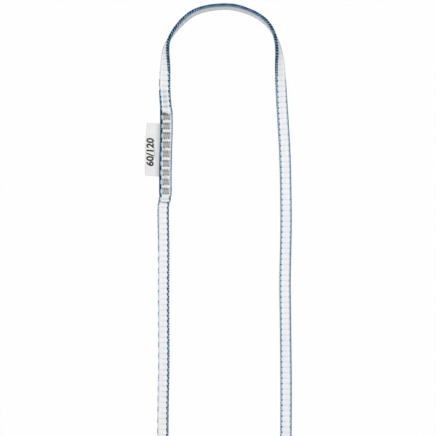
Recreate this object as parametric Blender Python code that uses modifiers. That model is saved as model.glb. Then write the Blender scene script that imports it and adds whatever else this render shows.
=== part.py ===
"""A sewn sling of narrow woven webbing, laid flat as one long loop, with a folded cloth tab at its splice.

Metres, +Z up. The loop lies on z = 0, long way along Y, and the origin is at the middle of its footprint.
One strip of webbing runs from its free end, on top in the splice, up the left leg, round the far bend, down
the right leg, round the near bend and up to its hidden end, underneath in the splice. The webbing lies on its
face in the legs and turns up on its outer edge in the bends. Seen along the strip from the free end, the
inside of the loop is always on the right.
"""

import math

import bmesh
import bpy
import numpy as np
from mathutils import Matrix, Vector

# Webbing: a white body between two coloured edge yarns
WEB_WIDTH = 0.0080
WEB_THICKNESS = 0.0021
EDGE_WIDTH = 0.0010
EDGE_THICKNESS = 0.0020
EDGE_GAP = 0.00025
BODY_CORNER = 0.00035
EDGE_CORNER = 0.0003

# Loop, as it lies: between the middles of its two bends
LOOP_LENGTH = 0.5550

# Splice: where the strip's two ends lie on each other and are sewn
SPLICE_FROM_FAR_TIP = 0.0705
SPLICE_LENGTH = 0.0648
SPLICE_SKEW = 0.0007
FREE_END_X = -0.0366
LAYER_GAP = 0.0009
END_GAP = 0.0003
SEWN_FROM_SHARE = 0.08
SEWN_EARLY_SHARE = 0.16
SEWN_HALF_SHARE = 0.50
SEWN_TO_SHARE = 0.96

# Bar tacks: zigzag seams of thick thread through both layers
TACK_COUNT = 9
TACK_PITCH = 0.00645
TACK_FROM_FREE_END = 0.0077
TACK_APART = 0.00185
TACK_WIDTH = 0.0044
TACK_STROKES = 6
TACK_KNOT = 0.0011
KNOT_INSET = 0.00025
THREAD = 0.0005
DIVE_WIDTH = 0.00056
THREAD_SINK = 0.00015
STITCH_GAP = 0.00015
PILLOW_SLOPE = 0.0002

# Label: a folded tab of cloth, its two leaves pressed together where the splice holds them
LABEL_LENGTH = 0.0368
LABEL_DEPTH = 0.0100
LABEL_FROM_FREE_END = 0.0358
LABEL_CLOTH = 0.0002
LABEL_LEAF_GAP = 0.0003
LABEL_BOW = 0.0007
LABEL_SKEW = 0.0005
LABEL_SHEAR = 0.0008
ANCHOR_THICKNESS = 0.0003
ANCHOR_REACH = 0.0055
HINGE_GAP = 0.0003

# How finely the strip and the small pieces are faceted
STRAIGHT_STEP = 0.022
TURN_STEP = 13.0
LEAN_STEP = 16.0
THREAD_SIDES = 6
CORNER_SEGMENTS = 2
EDGE_SEGMENTS = 3
FOLD_SEGMENTS = 6
LABEL_ROWS = 8

# One overrun for every cutter, past the faces that it cuts
OVERRUN = 0.0005

# Corners of a swept mesh that are closer than this are one corner
WELD = 0.000002

# Worked out from the sizes above
BODY_WIDTH = WEB_WIDTH - 2 * (EDGE_WIDTH + EDGE_GAP)
ON_LABEL = WEB_THICKNESS + LAYER_GAP
ON_WEB = WEB_THICKNESS + END_GAP
SPLICE_MIDDLE_Z = WEB_THICKNESS + LAYER_GAP / 2
SPLICE_TOP_Z = 2 * WEB_THICKNESS + LAYER_GAP
TACK_HEIGHT = TACK_PITCH - TACK_APART
THREAD_RADIUS = THREAD / 2
POCKET_DEPTH = THREAD_SINK + THREAD + STITCH_GAP
THREAD_CENTRE = SPLICE_TOP_Z / 2 - THREAD_SINK - THREAD_RADIUS
HINGE_OUT = WEB_WIDTH / 2 + HINGE_GAP + LABEL_CLOTH + LABEL_LEAF_GAP / 2
FAR_TIP_Y = LOOP_LENGTH / 2
HIDDEN_END = (FREE_END_X + SPLICE_SKEW, FAR_TIP_Y - SPLICE_FROM_FAR_TIP)
FREE_END = (FREE_END_X, HIDDEN_END[1] - SPLICE_LENGTH)


def on_splice(share):
    """Plan position on the splice's centre line, from 0 at the free end to 1 at the hidden end."""
    return tuple(a + share * (b - a) for a, b in zip(FREE_END, HIDDEN_END))


# The strip's centre line: x, y and lean in degrees. Lean is how far the edge on the inside of the loop has
# turned up. The points follow the way the webbing fell. Each table counts its y from a landmark of its own:
# the far bend and the legs from the far tip, the near bend from the near tip, the last from the free end.
FAR_BEND = (
    (-0.0369, -0.0610, 4),
    (-0.0369, -0.0451, 27),
    (-0.0367, -0.0371, 52),
    (-0.0362, -0.0312, 66),
    (-0.0344, -0.0242, 86),
    (-0.0312, -0.0183, 95),
    (-0.0227, -0.0086, 106),
    (-0.0181, -0.0051, 107),
    (-0.0091, -0.0016, 107),
    (0.0017, -0.0001, 105),
    (0.0118, -0.0006, 106),
    (0.0181, -0.0023, 105),
    (0.0318, -0.0095, 102),
    (0.0370, -0.0156, 94),
    (0.0397, -0.0210, 88),
    (0.0422, -0.0310, 68),
    (0.0431, -0.0415, 38),
    (0.0443, -0.0646, 14),
    (0.0455, -0.0845, 4),
)
RIGHT_LEG = (
    (0.0466, -0.1063, 0),
    (0.0471, -0.1285, 0),
    (0.0473, -0.1505, 0),
    (0.0470, -0.1725, 0),
    (0.0467, -0.1925, 0),
    (0.0469, -0.2115, 0),
    (0.0472, -0.2375, 0),
    (0.0474, -0.2593, 0),
    (0.0473, -0.2955, 0),
)
NEAR_BEND = (
    (0.0452, 0.0725, 4),
    (0.0440, 0.0515, 24),
    (0.0424, 0.0345, 64),
    (0.0388, 0.0210, 90),
    (0.0300, 0.0095, 101),
    (0.0160, 0.0019, 103),
    (0.0020, 0.0000, 103),
    (-0.0120, 0.0027, 103),
    (-0.0240, 0.0102, 101),
    (-0.0328, 0.0219, 90),
    (-0.0366, 0.0345, 64),
    (-0.0382, 0.0515, 24),
    (-0.0389, 0.0725, 4),
)
LEFT_LEG = (
    (-0.0386, -0.2955, 0),
    (-0.0384, -0.2745, 0),
    (-0.0380, -0.2535, 0),
    (-0.0380, -0.2275, 0),
    (-0.0381, -0.1925, 0),
    (-0.0379, -0.1619, 0),
)
UNDER_FREE_END = (
    (-0.0381, -0.0092, 0),
    (-0.0380, -0.0037, 0),
    (-0.0375, 0.0003, 0),
    (-0.0368, 0.0033, 0),
)

WHITE_YARN = (0.86, 0.87, 0.90)
BLUE_YARN = (0.045, 0.105, 0.185)
GREY_THREAD = (0.42, 0.40, 0.35)
LABEL_CLOTH_COLOUR = (0.80, 0.81, 0.81)


def resting(points, landmark):
    """Route points that lie on the surface, from a table that counts its y from the landmark."""
    return [(x, y + landmark, lean, 0) for x, y, lean in points]


def halfway(before, after):
    """A route point in the middle of a straight run, lying flat."""
    return (before[0] + after[0]) / 2, (before[1] + after[1]) / 2, 0, 0


def strip_route():
    """(x, y, lean, lift) all along the strip, from its free end to its hidden end."""
    out = resting(FAR_BEND + RIGHT_LEG, FAR_TIP_Y)
    near = resting(NEAR_BEND, -FAR_TIP_Y)
    back = resting(LEFT_LEG, FAR_TIP_Y)
    sewn = [on_splice(share) for share in (SEWN_FROM_SHARE, SEWN_EARLY_SHARE, SEWN_HALF_SHARE, SEWN_TO_SHARE)]
    return [
        (*FREE_END, 0, ON_WEB),
        *[(*place, 0, ON_LABEL) for place in sewn],
        *out,
        halfway(out[-1], near[0]),
        *near,
        halfway(near[-1], back[0]),
        *back,
        *resting(UNDER_FREE_END, FREE_END[1]),
        *[(*place, 0, 0) for place in sewn],
        (*HIDDEN_END, 0, 0),
    ]


def clear_scene():
    for old in list(bpy.data.objects):
        bpy.data.objects.remove(old)


def new_collection(name):
    collection = bpy.data.collections.new(name)
    bpy.context.scene.collection.children.link(collection)
    return collection


def cloth_material(name, colour, roughness):
    material = bpy.data.materials.new(name)
    material.use_nodes = True
    shader = material.node_tree.nodes["Principled BSDF"]
    shader.inputs["Base Color"].default_value = (*colour, 1)
    shader.inputs["Roughness"].default_value = roughness
    shader.inputs["Metallic"].default_value = 0
    return material


def mark_as_guide(obj):
    """A cutter or a section isn't part of the sling: it is drawn as wire and left out of a render."""
    obj.hide_render = True
    obj.display_type = "WIRE"


def add_mesh_object(name, shape, collection, material=None):
    """An object that holds the shape, a bmesh, which is freed."""
    mesh = bpy.data.meshes.new(name)
    shape.to_mesh(mesh)
    shape.free()
    obj = bpy.data.objects.new(name, mesh)
    collection.objects.link(obj)
    if material:
        mesh.materials.append(material)
    return obj


# The strip's route


def smooth_values(knots, values, where):
    """The natural cubic curve through the values."""
    steps = np.diff(knots)
    slopes = np.diff(values) / steps
    system = np.eye(len(knots))
    right = np.zeros(len(knots))
    for i in range(1, len(knots) - 1):
        system[i, i - 1 : i + 2] = steps[i - 1], 2 * (steps[i - 1] + steps[i]), steps[i]
        right[i] = 6 * (slopes[i] - slopes[i - 1])
    bends = np.linalg.solve(system, right)
    span = np.clip(np.searchsorted(knots, where, side="right") - 1, 0, len(steps) - 1)
    along = where - knots[span]
    step = steps[span]
    first = slopes[span] - step * (2 * bends[span] + bends[span + 1]) / 6
    third = (bends[span + 1] - bends[span]) / (6 * step)
    return values[span] + along * (first + along * (bends[span] / 2 + along * third))


def eased_values(knots, values, where):
    """A curve through the values that never swings past them."""
    steps = np.diff(knots)
    slopes = np.diff(values) / steps
    lead = np.zeros(len(knots))
    for i in range(1, len(knots) - 1):
        before, after = slopes[i - 1], slopes[i]
        if before * after > 0:
            lead[i] = 2 * before * after / (before + after)
    span = np.clip(np.searchsorted(knots, where, side="right") - 1, 0, len(steps) - 1)
    step = steps[span]
    t = (where - knots[span]) / step
    rise = values[span] * (1 + 2 * t) * (1 - t) ** 2 + values[span + 1] * t**2 * (3 - 2 * t)
    return rise + step * (lead[span] * t * (1 - t) ** 2 - lead[span + 1] * t**2 * (1 - t))


def resting_height(lean):
    """Height of the strip's centre where it leans by this angle and its lower edge touches the surface."""
    return abs(np.sin(lean)) * WEB_WIDTH / 2 + abs(np.cos(lean)) * WEB_THICKNESS / 2


def strip_points():
    """(points, leans) along the strip: close together where it bends or turns over, far apart where not."""
    x, y, lean, lift = np.array(strip_route(), float).T
    lean = np.radians(lean)
    knots = np.concatenate([[0], np.cumsum(np.hypot(np.diff(x), np.diff(y)))])
    heading = np.arctan2(
        np.gradient(smooth_values(knots, y, knots), knots),
        np.gradient(smooth_values(knots, x, knots), knots),
    )
    turn = np.abs((np.diff(heading) + math.pi) % math.tau - math.pi)
    counts = np.ceil(
        np.max(
            [
                np.diff(knots) / STRAIGHT_STEP,
                turn / math.radians(TURN_STEP),
                np.abs(np.diff(lean)) / math.radians(LEAN_STEP),
                np.ones(len(turn)),
            ],
            axis=0,
        )
    ).astype(int)
    where = [knots[i] + (knots[i + 1] - knots[i]) * np.arange(n) / n for i, n in enumerate(counts)]
    where = np.concatenate([*where, knots[-1:]])
    leans = eased_values(knots, lean, where)
    heights = resting_height(leans) + eased_values(knots, lift, where)
    points = np.stack([smooth_values(knots, x, where), smooth_values(knots, y, where), heights], axis=1)
    return points, leans


def section(name, outline, collection):
    """A closed outline across the strip: its x runs to the inside of the loop, its y up from the face."""
    curve = bpy.data.curves.new(name, "CURVE")
    curve.dimensions = "2D"
    spline = curve.splines.new("POLY")
    spline.points.add(len(outline) - 1)
    for point, (across, up) in zip(spline.points, outline):
        point.co = (across, up, 0, 1)
    spline.use_cyclic_u = True
    obj = bpy.data.objects.new(name, curve)
    collection.objects.link(obj)
    mark_as_guide(obj)
    return obj


def corner_arc(centre_x, centre_y, radius_x, radius_y, start, segments):
    """Points of a quarter of an ellipse, from the start angle in degrees, turning left."""
    angles = [math.radians(start + 90 * i / segments) for i in range(segments + 1)]
    return [(centre_x + radius_x * math.cos(a), centre_y + radius_y * math.sin(a)) for a in angles]


def body_outline():
    """The white body's section: a flat rectangle with rounded corners."""
    out = BODY_WIDTH / 2 - BODY_CORNER
    up = WEB_THICKNESS / 2 - BODY_CORNER
    corners = ((out, up, 0), (-out, up, 90), (-out, -up, 180), (out, -up, 270))
    points = []
    for x, y, start in corners:
        points += corner_arc(x, y, BODY_CORNER, BODY_CORNER, start, CORNER_SEGMENTS)
    return points


def edge_outline(side):
    """An edge yarn's section: round to the outside, and nearly flat where it lies along the body."""
    flat = WEB_WIDTH / 2 - EDGE_WIDTH
    half = EDGE_THICKNESS / 2
    swell = EDGE_WIDTH - EDGE_CORNER
    shoulder = flat + EDGE_CORNER
    outer = corner_arc(shoulder, 0, swell, half, -90, EDGE_SEGMENTS)
    outer += corner_arc(shoulder, 0, swell, half, 0, EDGE_SEGMENTS)[1:]
    inner = [(flat, half - EDGE_CORNER), (flat, EDGE_CORNER - half)]
    return [(side * x, -side * y) for x, y in outer + inner]


def sweep(name, outline, route, collections, material):
    """The outline carried along the strip's centre line, leaning as the strip leans."""
    parts, guides = collections
    points, leans = route
    curve = bpy.data.curves.new(name, "CURVE")
    curve.dimensions = "3D"
    curve.twist_mode = "Z_UP"
    spline = curve.splines.new("POLY")
    spline.points.add(len(points) - 1)
    for place, point, lean in zip(spline.points, points, leans):
        place.co = (*point, 1)
        place.tilt = -lean
    curve.bevel_mode = "OBJECT"
    curve.bevel_object = section(name + "_section", outline, guides)
    curve.use_fill_caps = True
    curve.materials.append(material)
    obj = bpy.data.objects.new(name, curve)
    parts.objects.link(obj)
    return obj


def as_mesh(curve_object, collection):
    """The same object as a closed mesh, so that it can be cut."""
    bpy.context.view_layer.update()
    graph = bpy.context.evaluated_depsgraph_get()
    mesh = bpy.data.meshes.new_from_object(curve_object.evaluated_get(graph))
    shape = bmesh.new()
    shape.from_mesh(mesh)
    bmesh.ops.remove_doubles(shape, verts=shape.verts, dist=WELD)
    bmesh.ops.recalc_face_normals(shape, faces=shape.faces)
    shape.to_mesh(mesh)
    shape.free()
    name = curve_object.name
    place = curve_object.matrix_world.copy()
    bpy.data.objects.remove(curve_object)
    obj = bpy.data.objects.new(name, mesh)
    obj.matrix_world = place
    collection.objects.link(obj)
    return obj


# The splice's own frame


def splice_frame(from_free_end, height):
    """X to the inside of the loop, Y along the splice, Z up, at this distance from the free end."""
    start, end = Vector(FREE_END), Vector(HIDDEN_END)
    run = end - start
    place = start + run.normalized() * from_free_end
    turn = math.atan2(run.y, run.x) - math.pi / 2
    return Matrix.Translation((place.x, place.y, height)) @ Matrix.Rotation(turn, 4, "Z")


def tack_frames():
    return [
        splice_frame(TACK_FROM_FREE_END + i * TACK_PITCH, SPLICE_MIDDLE_Z) for i in range(TACK_COUNT)
    ]


def needle_holes():
    """Where the thread dives through, in a tack's own frame: the zigzag's corners, from left to right."""
    return [
        Vector((TACK_WIDTH * (i / TACK_STROKES - 1 / 2), TACK_HEIGHT / 2 * (-1) ** i, 0))
        for i in range(TACK_STROKES + 1)
    ]


# Bar tacks


def add_rod(shape, start, end):
    """A straight length of thread between two points."""
    run = end - start
    made = bmesh.ops.create_cone(
        shape,
        cap_ends=True,
        segments=THREAD_SIDES,
        radius1=THREAD_RADIUS,
        radius2=THREAD_RADIUS,
        depth=run.length,
    )
    place = Matrix.Translation((start + end) / 2) @ run.to_track_quat("Z", "Y").to_matrix().to_4x4()
    bmesh.ops.transform(shape, matrix=place, verts=made["verts"])


def add_post(shape, frame, width, reach):
    """An upright square post, reaching as far up as down: a thread's dive, or the hole that it goes through."""
    sides = Matrix.Diagonal((width, width, 2 * reach, 1))
    bmesh.ops.create_cube(shape, size=1, matrix=frame @ sides)


def tack_strokes():
    """The zigzag on top and the one underneath, as loose rods."""
    shape = bmesh.new()
    holes = needle_holes()
    for height in (THREAD_CENTRE, -THREAD_CENTRE):
        level = Vector((0, 0, height))
        for start, end in zip(holes, holes[1:]):
            add_rod(shape, start + level, end + level)
    return shape


def tack_dives():
    """The thread's lengths through the webbing, one at each corner of the zigzag."""
    shape = bmesh.new()
    for hole in needle_holes():
        add_post(shape, Matrix.Translation(hole), DIVE_WIDTH, THREAD_CENTRE + DIVE_WIDTH / 2)
    return shape


def tack_knot():
    """The blob where the sewing was tied off, at the top left corner of the last tack."""
    shape = bmesh.new()
    made = bmesh.ops.create_icosphere(shape, subdivisions=1, radius=TACK_KNOT / 2)
    corner = needle_holes()[0]
    height = THREAD_CENTRE - THREAD_RADIUS + TACK_KNOT / 2
    bmesh.ops.translate(shape, vec=(corner.x, corner.y - KNOT_INSET, height), verts=made["verts"])
    return shape


def tack_mesh(guides, name, *extras):
    """One bar tack as a single closed body: its zigzags, its dives and whatever else is joined to them."""
    tack = add_mesh_object(name, tack_strokes(), guides)
    mark_as_guide(tack)
    for number, shape in enumerate((tack_dives(), *extras)):
        piece = add_mesh_object(f"{name}_join_{number}", shape, guides)
        mark_as_guide(piece)
        join = tack.modifiers.new("join", "BOOLEAN")
        join.operation = "UNION"
        join.use_self = True
        join.object = piece
    bpy.context.view_layer.update()
    graph = bpy.context.evaluated_depsgraph_get()
    return bpy.data.meshes.new_from_object(tack.evaluated_get(graph))


def add_tacks(collections, material):
    parts, guides = collections
    plain = tack_mesh(guides, "plain_tack")
    last = tack_mesh(guides, "last_tack", tack_knot())
    for number, frame in enumerate(tack_frames(), start=1):
        mesh = last if number == TACK_COUNT else plain
        tack = bpy.data.objects.new(f"bar_tack_{number}", mesh)
        parts.objects.link(tack)
        tack.matrix_world = frame
    for mesh in (plain, last):
        mesh.materials.clear()
        mesh.materials.append(material)


def stitch_holes(guides):
    """Every needle hole of the splice, as one cutter."""
    shape = bmesh.new()
    for frame in tack_frames():
        for hole in needle_holes():
            place = frame @ Matrix.Translation(hole)
            add_post(shape, place, DIVE_WIDTH + 2 * STITCH_GAP, SPLICE_TOP_Z / 2 + OVERRUN)
    cutter = add_mesh_object("needle_hole_cutter", shape, guides)
    mark_as_guide(cutter)
    return cutter


def tack_pockets(guides):
    """The hollows that the tacks pull into both faces, with a pillow of webbing left between them."""
    shape = bmesh.new()
    floor = TACK_HEIGHT / 2 + THREAD_RADIUS + STITCH_GAP
    deep = SPLICE_TOP_Z / 2 - POCKET_DEPTH
    rim = floor + PILLOW_SLOPE
    above = SPLICE_TOP_Z / 2 + OVERRUN
    for frame in tack_frames():
        for side in (1, -1):
            made = bmesh.ops.create_cube(shape, size=1)
            for vertex in made["verts"]:
                outward = vertex.co.z > 0
                vertex.co.x *= WEB_WIDTH
                vertex.co.y *= 2 * (rim if outward else floor)
                vertex.co.z = side * (above if outward else deep)
            if side < 0:
                bmesh.ops.reverse_faces(shape, faces=list({f for v in made["verts"] for f in v.link_faces}))
            bmesh.ops.transform(shape, matrix=frame, verts=made["verts"])
    cutter = add_mesh_object("tack_pocket_cutter", shape, guides)
    mark_as_guide(cutter)
    return cutter


def cut(obj, cutter, name):
    modifier = obj.modifiers.new(name, "BOOLEAN")
    modifier.operation = "DIFFERENCE"
    modifier.object = cutter


# Label


def label_lean():
    """How far the tab slopes down from the hinge to rest its fold on the surface."""
    fold_radius = LABEL_CLOTH + LABEL_LEAF_GAP / 2
    deepest = LABEL_DEPTH + LABEL_SKEW**2 / (4 * LABEL_BOW)
    return math.asin((SPLICE_MIDDLE_Z - fold_radius) / deepest)


def label_profile():
    """The folded cloth's middle line, out along the lower leaf, round the fold and back along the upper."""
    radius = (LABEL_CLOTH + LABEL_LEAF_GAP) / 2
    fold = [
        (-radius * math.sin(a), -radius * math.cos(a))
        for a in (math.pi * i / FOLD_SEGMENTS for i in range(FOLD_SEGMENTS + 1))
    ]
    return [(False, 0, -radius)] + [(True, x, z) for x, z in fold] + [(False, 0, radius)]


def add_label_tab(parts, material):
    """The folded tab, sheared and bowed at its fold, with its origin on the hinge line."""
    shape = bmesh.new()
    profile = label_profile()
    rows = []
    for row in range(LABEL_ROWS + 1):
        share = 2 * row / LABEL_ROWS - 1
        depth = LABEL_DEPTH - LABEL_BOW * share**2 - LABEL_SKEW * share
        base = share * LABEL_LENGTH / 2
        rows.append(
            [
                shape.verts.new(
                    (x - depth, base + LABEL_SHEAR * depth / LABEL_DEPTH, z) if at_fold else (x, base, z)
                )
                for at_fold, x, z in profile
            ]
        )
    for low, high in zip(rows, rows[1:]):
        for i in range(len(profile) - 1):
            shape.faces.new((low[i], low[i + 1], high[i + 1], high[i]))
    bmesh.ops.recalc_face_normals(shape, faces=shape.faces)
    tab = add_mesh_object("label_tab", shape, parts, material)
    cloth = tab.modifiers.new("cloth", "SOLIDIFY")
    cloth.thickness = LABEL_CLOTH
    cloth.offset = 0
    hinge = splice_frame(LABEL_FROM_FREE_END, SPLICE_MIDDLE_Z) @ Matrix.Translation((-HINGE_OUT, 0, 0))
    tab.matrix_world = hinge @ Matrix.Rotation(-label_lean(), 4, "Y")


def add_label_anchor(parts, holes, material):
    """The part of the label between the layers, which the tacks sew through."""
    shape = bmesh.new()
    bmesh.ops.create_cube(shape, size=1)
    bmesh.ops.scale(shape, vec=(ANCHOR_REACH, LABEL_LENGTH, ANCHOR_THICKNESS), verts=shape.verts)
    middle = (ANCHOR_REACH - WEB_WIDTH) / 2
    bmesh.ops.translate(shape, vec=(middle, 0, 0), verts=shape.verts)
    place = splice_frame(LABEL_FROM_FREE_END, SPLICE_MIDDLE_Z)
    bmesh.ops.transform(shape, matrix=place, verts=shape.verts)
    anchor = add_mesh_object("label_anchor", shape, parts, material)
    cut(anchor, holes, "needle holes")


def add_webbing(collections, holes, pockets, white, blue):
    parts, _ = collections
    route = strip_points()
    body = as_mesh(sweep("web_body", body_outline(), route, collections, white), parts)
    cut(body, pockets, "tack pockets")
    cut(body, holes, "needle holes")
    sweep("edge_yarn_inner", edge_outline(1), route, collections, blue)
    sweep("edge_yarn_outer", edge_outline(-1), route, collections, blue)


def main():
    clear_scene()
    collections = new_collection("climbing_sling"), new_collection("cutters_and_sections")
    parts, guides = collections
    white = cloth_material("white_yarn", WHITE_YARN, 0.75)
    blue = cloth_material("blue_edge_yarn", BLUE_YARN, 0.7)
    thread = cloth_material("grey_tack_thread", GREY_THREAD, 0.8)
    label = cloth_material("label_cloth", LABEL_CLOTH_COLOUR, 0.6)
    holes = stitch_holes(guides)
    pockets = tack_pockets(guides)
    add_webbing(collections, holes, pockets, white, blue)
    add_tacks(collections, thread)
    add_label_anchor(parts, holes, label)
    add_label_tab(parts, label)


main()
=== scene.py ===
"""The looks of a sewn webbing sling: its woven strip, coloured edge yarns, bar tacks and folded label."""

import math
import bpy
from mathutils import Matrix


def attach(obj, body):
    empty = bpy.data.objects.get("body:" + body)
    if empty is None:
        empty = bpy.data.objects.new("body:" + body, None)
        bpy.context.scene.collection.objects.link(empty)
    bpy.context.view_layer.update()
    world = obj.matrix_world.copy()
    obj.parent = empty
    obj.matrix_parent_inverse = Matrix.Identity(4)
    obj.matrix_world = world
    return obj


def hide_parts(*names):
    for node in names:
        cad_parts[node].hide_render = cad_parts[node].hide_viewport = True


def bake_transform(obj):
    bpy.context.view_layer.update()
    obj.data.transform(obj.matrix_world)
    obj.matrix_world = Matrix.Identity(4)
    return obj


bl_info = {
    "name": "Sewn webbing sling",
    "version": (1, 0, 0),
    "blender": (4, 5, 0),
    "location": "3D View > Sidebar > Sling",
    "description": "Weaves and sews a narrow webbing sling around its packed model",
    "category": "Add Mesh",
}

from typing import NamedTuple

import bmesh
import bpy
import numpy as np
from bpy.props import FloatProperty, FloatVectorProperty, IntProperty, PointerProperty, StringProperty
from mathutils import Matrix, Vector

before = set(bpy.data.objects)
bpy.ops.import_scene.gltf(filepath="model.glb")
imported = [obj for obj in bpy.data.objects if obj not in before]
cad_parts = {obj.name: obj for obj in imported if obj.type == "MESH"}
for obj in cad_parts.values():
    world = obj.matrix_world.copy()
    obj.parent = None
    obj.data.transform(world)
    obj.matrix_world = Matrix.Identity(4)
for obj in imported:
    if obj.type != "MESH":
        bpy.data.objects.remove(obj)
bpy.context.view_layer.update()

SLING = "sling"
TAB = "label"
MM = 0.001
PICTURE_WIDTH = 436

# The strip's route, as in the part's source: x, y and lean in degrees, each table from its own landmark
LOOP_LENGTH = 0.5550
SPLICE_FROM_FAR_TIP = 0.0705
SPLICE_LENGTH = 0.0648
SPLICE_SKEW = 0.0007
FREE_END_X = -0.0366
FAR_TIP_Y = LOOP_LENGTH / 2
HIDDEN_END = (FREE_END_X + SPLICE_SKEW, FAR_TIP_Y - SPLICE_FROM_FAR_TIP)
FREE_END = (FREE_END_X, HIDDEN_END[1] - SPLICE_LENGTH)
SEWN_SHARES = (0.08, 0.16, 0.50, 0.96)
FAR_BEND = (
    (-0.0369, -0.0610, 4),
    (-0.0367, -0.0451, 24),
    (-0.0364, -0.0371, 46),
    (-0.0361, -0.0312, 61),
    (-0.0345, -0.0242, 82),
    (-0.0312, -0.0183, 95),
    (-0.0227, -0.0086, 106),
    (-0.0181, -0.0051, 107),
    (-0.0091, -0.0016, 107),
    (0.0017, -0.0001, 105),
    (0.0118, -0.0006, 106),
    (0.0181, -0.0023, 105),
    (0.0318, -0.0095, 102),
    (0.0370, -0.0156, 94),
    (0.0396, -0.0210, 85),
    (0.0420, -0.0310, 63),
    (0.0429, -0.0415, 34),
    (0.0442, -0.0646, 12),
    (0.0455, -0.0845, 4),
)
RIGHT_LEG = (
    (0.0466, -0.1063, 0),
    (0.0471, -0.1285, 0),
    (0.0473, -0.1505, -3),
    (0.0469, -0.1725, -3),
    (0.0466, -0.1925, -3),
    (0.0468, -0.2115, -3),
    (0.0471, -0.2375, -3),
    (0.0473, -0.2593, -3),
    (0.0472, -0.2955, -3),
)
NEAR_BEND = (
    (0.0452, 0.0725, 4),
    (0.0440, 0.0515, 24),
    (0.0424, 0.0345, 64),
    (0.0388, 0.0210, 90),
    (0.0300, 0.0095, 101),
    (0.0160, 0.0019, 103),
    (0.0020, 0.0000, 103),
    (-0.0120, 0.0027, 103),
    (-0.0240, 0.0102, 101),
    (-0.0328, 0.0219, 90),
    (-0.0366, 0.0345, 64),
    (-0.0382, 0.0515, 24),
    (-0.0389, 0.0725, 4),
)
LEFT_LEG = (
    (-0.0383, -0.2955, 7),
    (-0.0381, -0.2745, 8),
    (-0.0377, -0.2535, 8),
    (-0.0377, -0.2275, 7),
    (-0.0378, -0.1925, 6),
    (-0.0378, -0.1619, 3),
)
UNDER_FREE_END = (
    (-0.0381, -0.0092, 0),
    (-0.0380, -0.0037, 0),
    (-0.0375, 0.0003, 0),
    (-0.0368, 0.0033, 0),
)

# Where the strip is sewn: its splice and a little more at both its ends, and how far its ends are held
PAST_SPLICE = 6 * MM
SPLICE_MARGIN = 4 * MM
HELD_FROM = (1 * MM, 8 * MM)
HELD_TO = (-4 * MM, 3 * MM)

# How sewing shapes the webbing: pressed down from a little past each tack's edge, and puffed between tacks
PRESS_SLOPE = (0.05 * MM, 0.65 * MM)
PRESS_DEPTH = 0.50 * MM
PILLOW_RISE = 0.16 * MM
INNER_PRESS = 0.22 * MM
SEWN_WIDER_SHARE = 0.09
SEWN_ASIDE = 0.03 * MM

# The free end: a kink in its inner edge, its outer corner drawn in, and its rounded cut
KINK_PLACE = 2.9 * MM
KINK_REACH = 0.9 * MM
KINK_DEPTH = 0.9 * MM
CORNER_FROM_MIDDLE = (1.6 * MM, 3.0 * MM)
CORNER_FROM_END = (3.2 * MM, 4.4 * MM)
CORNER_DEPTH = 0.6 * MM
CUT_REACH = 0.5 * MM
CUT_SHARE = 0.15
CUT_WIDTH_SHARE = 0.8
END_BULGE = 0.45 * MM
END_BULGE_REACH = 2.5 * MM

# White middle of the webbing: bundles of yarn side by side over a core. WEAVE_START is its first crease
WEAVE_START = 0.00188
LADDER_BUNDLES = 4
BUNDLE_CELLS = 3
LADDER_TUCK = 0.05 * MM
LADDER_SINK = 0.24 * MM
LADDER_RISE = 0.30 * MM
LADDER_DRIFT = 0.06 * MM
LADDER_DRIFT_WAVE = 12 * MM
FLOAT_WAVE = 4.1 * MM
FLOAT_WAVE_SHARE = 0.10
CROWN_SHARES = (0.55, 0.45)
CORE_X = np.array((2.0, 2.9, 3.0, 2.9, 2.0)) * MM
CORE_Z = np.array((0.60, 0.50, 0.0, -0.50, -0.60)) * MM

# Just past the splice the bundles stand apart. From the splice's end: where that begins, and where it stops
SPREAD_FROM = (-4 * MM, 1 * MM)
SPREAD_TO = (9 * MM, 19 * MM)
SPREAD_LOWER_SHARE = 0.40
SPREAD_POWERS = (3.6, 0.9)
# Painted shade: bars in the creases between spread floats, along the free end's cut, and slightly over the
# splice.
BAR_SHARE = 0.28
CUT_SHADE_SHARE = 0.75
CUT_SHADE_REACH = (0.10 * MM, 0.50 * MM)
GREY_SHARE = 0.045
GREY_FADE = (15 * MM, 30 * MM)

# White chains between the middle and the edges: places across one, and its sizes
CHAIN_SHARES = np.array((1.0, 0.6, 0.2, -0.2, -0.6, -1.0))
CHAIN_TUCK = 0.10 * MM
CHAIN_SINK = 0.20 * MM
CHAIN_RISE = 0.34 * MM
CHAIN_DRIFT = 0.1 * MM
CHAIN_DRIFT_WAVE = 9 * MM
CHAIN_FLOAT_SHARE = 0.92
CHAIN_SLANT = 0.06
CHAIN_CROWN_SHARES = (0.15, 0.85)
CHAIN_TRIM = 0.2 * MM

# Edge yarns: the outline's flat part and its turn round the edge, in degrees
EDGE_FLAT = 0.50 * MM
EDGE_FLAT_SHARES = np.array((0.0, 0.25, 0.5, 0.75))
EDGE_TURN = (90, 68, 45, 22)
EDGE_SIDE_SINK = 0.14 * MM
EDGE_FACE_STAND = 0.05 * MM
EDGE_LIFT = 0.12 * MM
STITCH_RISE = 0.20 * MM
STITCH_DRIFT = 0.08 * MM
STITCH_DRIFT_WAVE = 7 * MM
EDGE_PRESS_SHARE = 0.4
PLACES = 4

# How long the edge stitches are, as shares of their spacing, and what the strip's tilt adds to that
FACE_STITCH_SHARE = 0.50
EDGE_STITCH_SHARE = 0.73
TILTED_EDGE_SHARE = 0.11
TILTED_LOWER_SHARE = 0.27
RIGHT_LEG_FACE_SHARE = 0.10
UNEVEN_SHARE = 0.10
PILLOW_STITCH_SHARE = 0.60

# In degrees: the tilts between which the strip counts as standing on its edge
UPRIGHT_TILT = (10, 45)
LYING_TILT = (10, 55)
COVERED_TILT = (10, 35)
# Over the last tilts, painted shade greys the white yarn over the outer edge.
RIM_SHADE_TILT = (40, 75)

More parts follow.
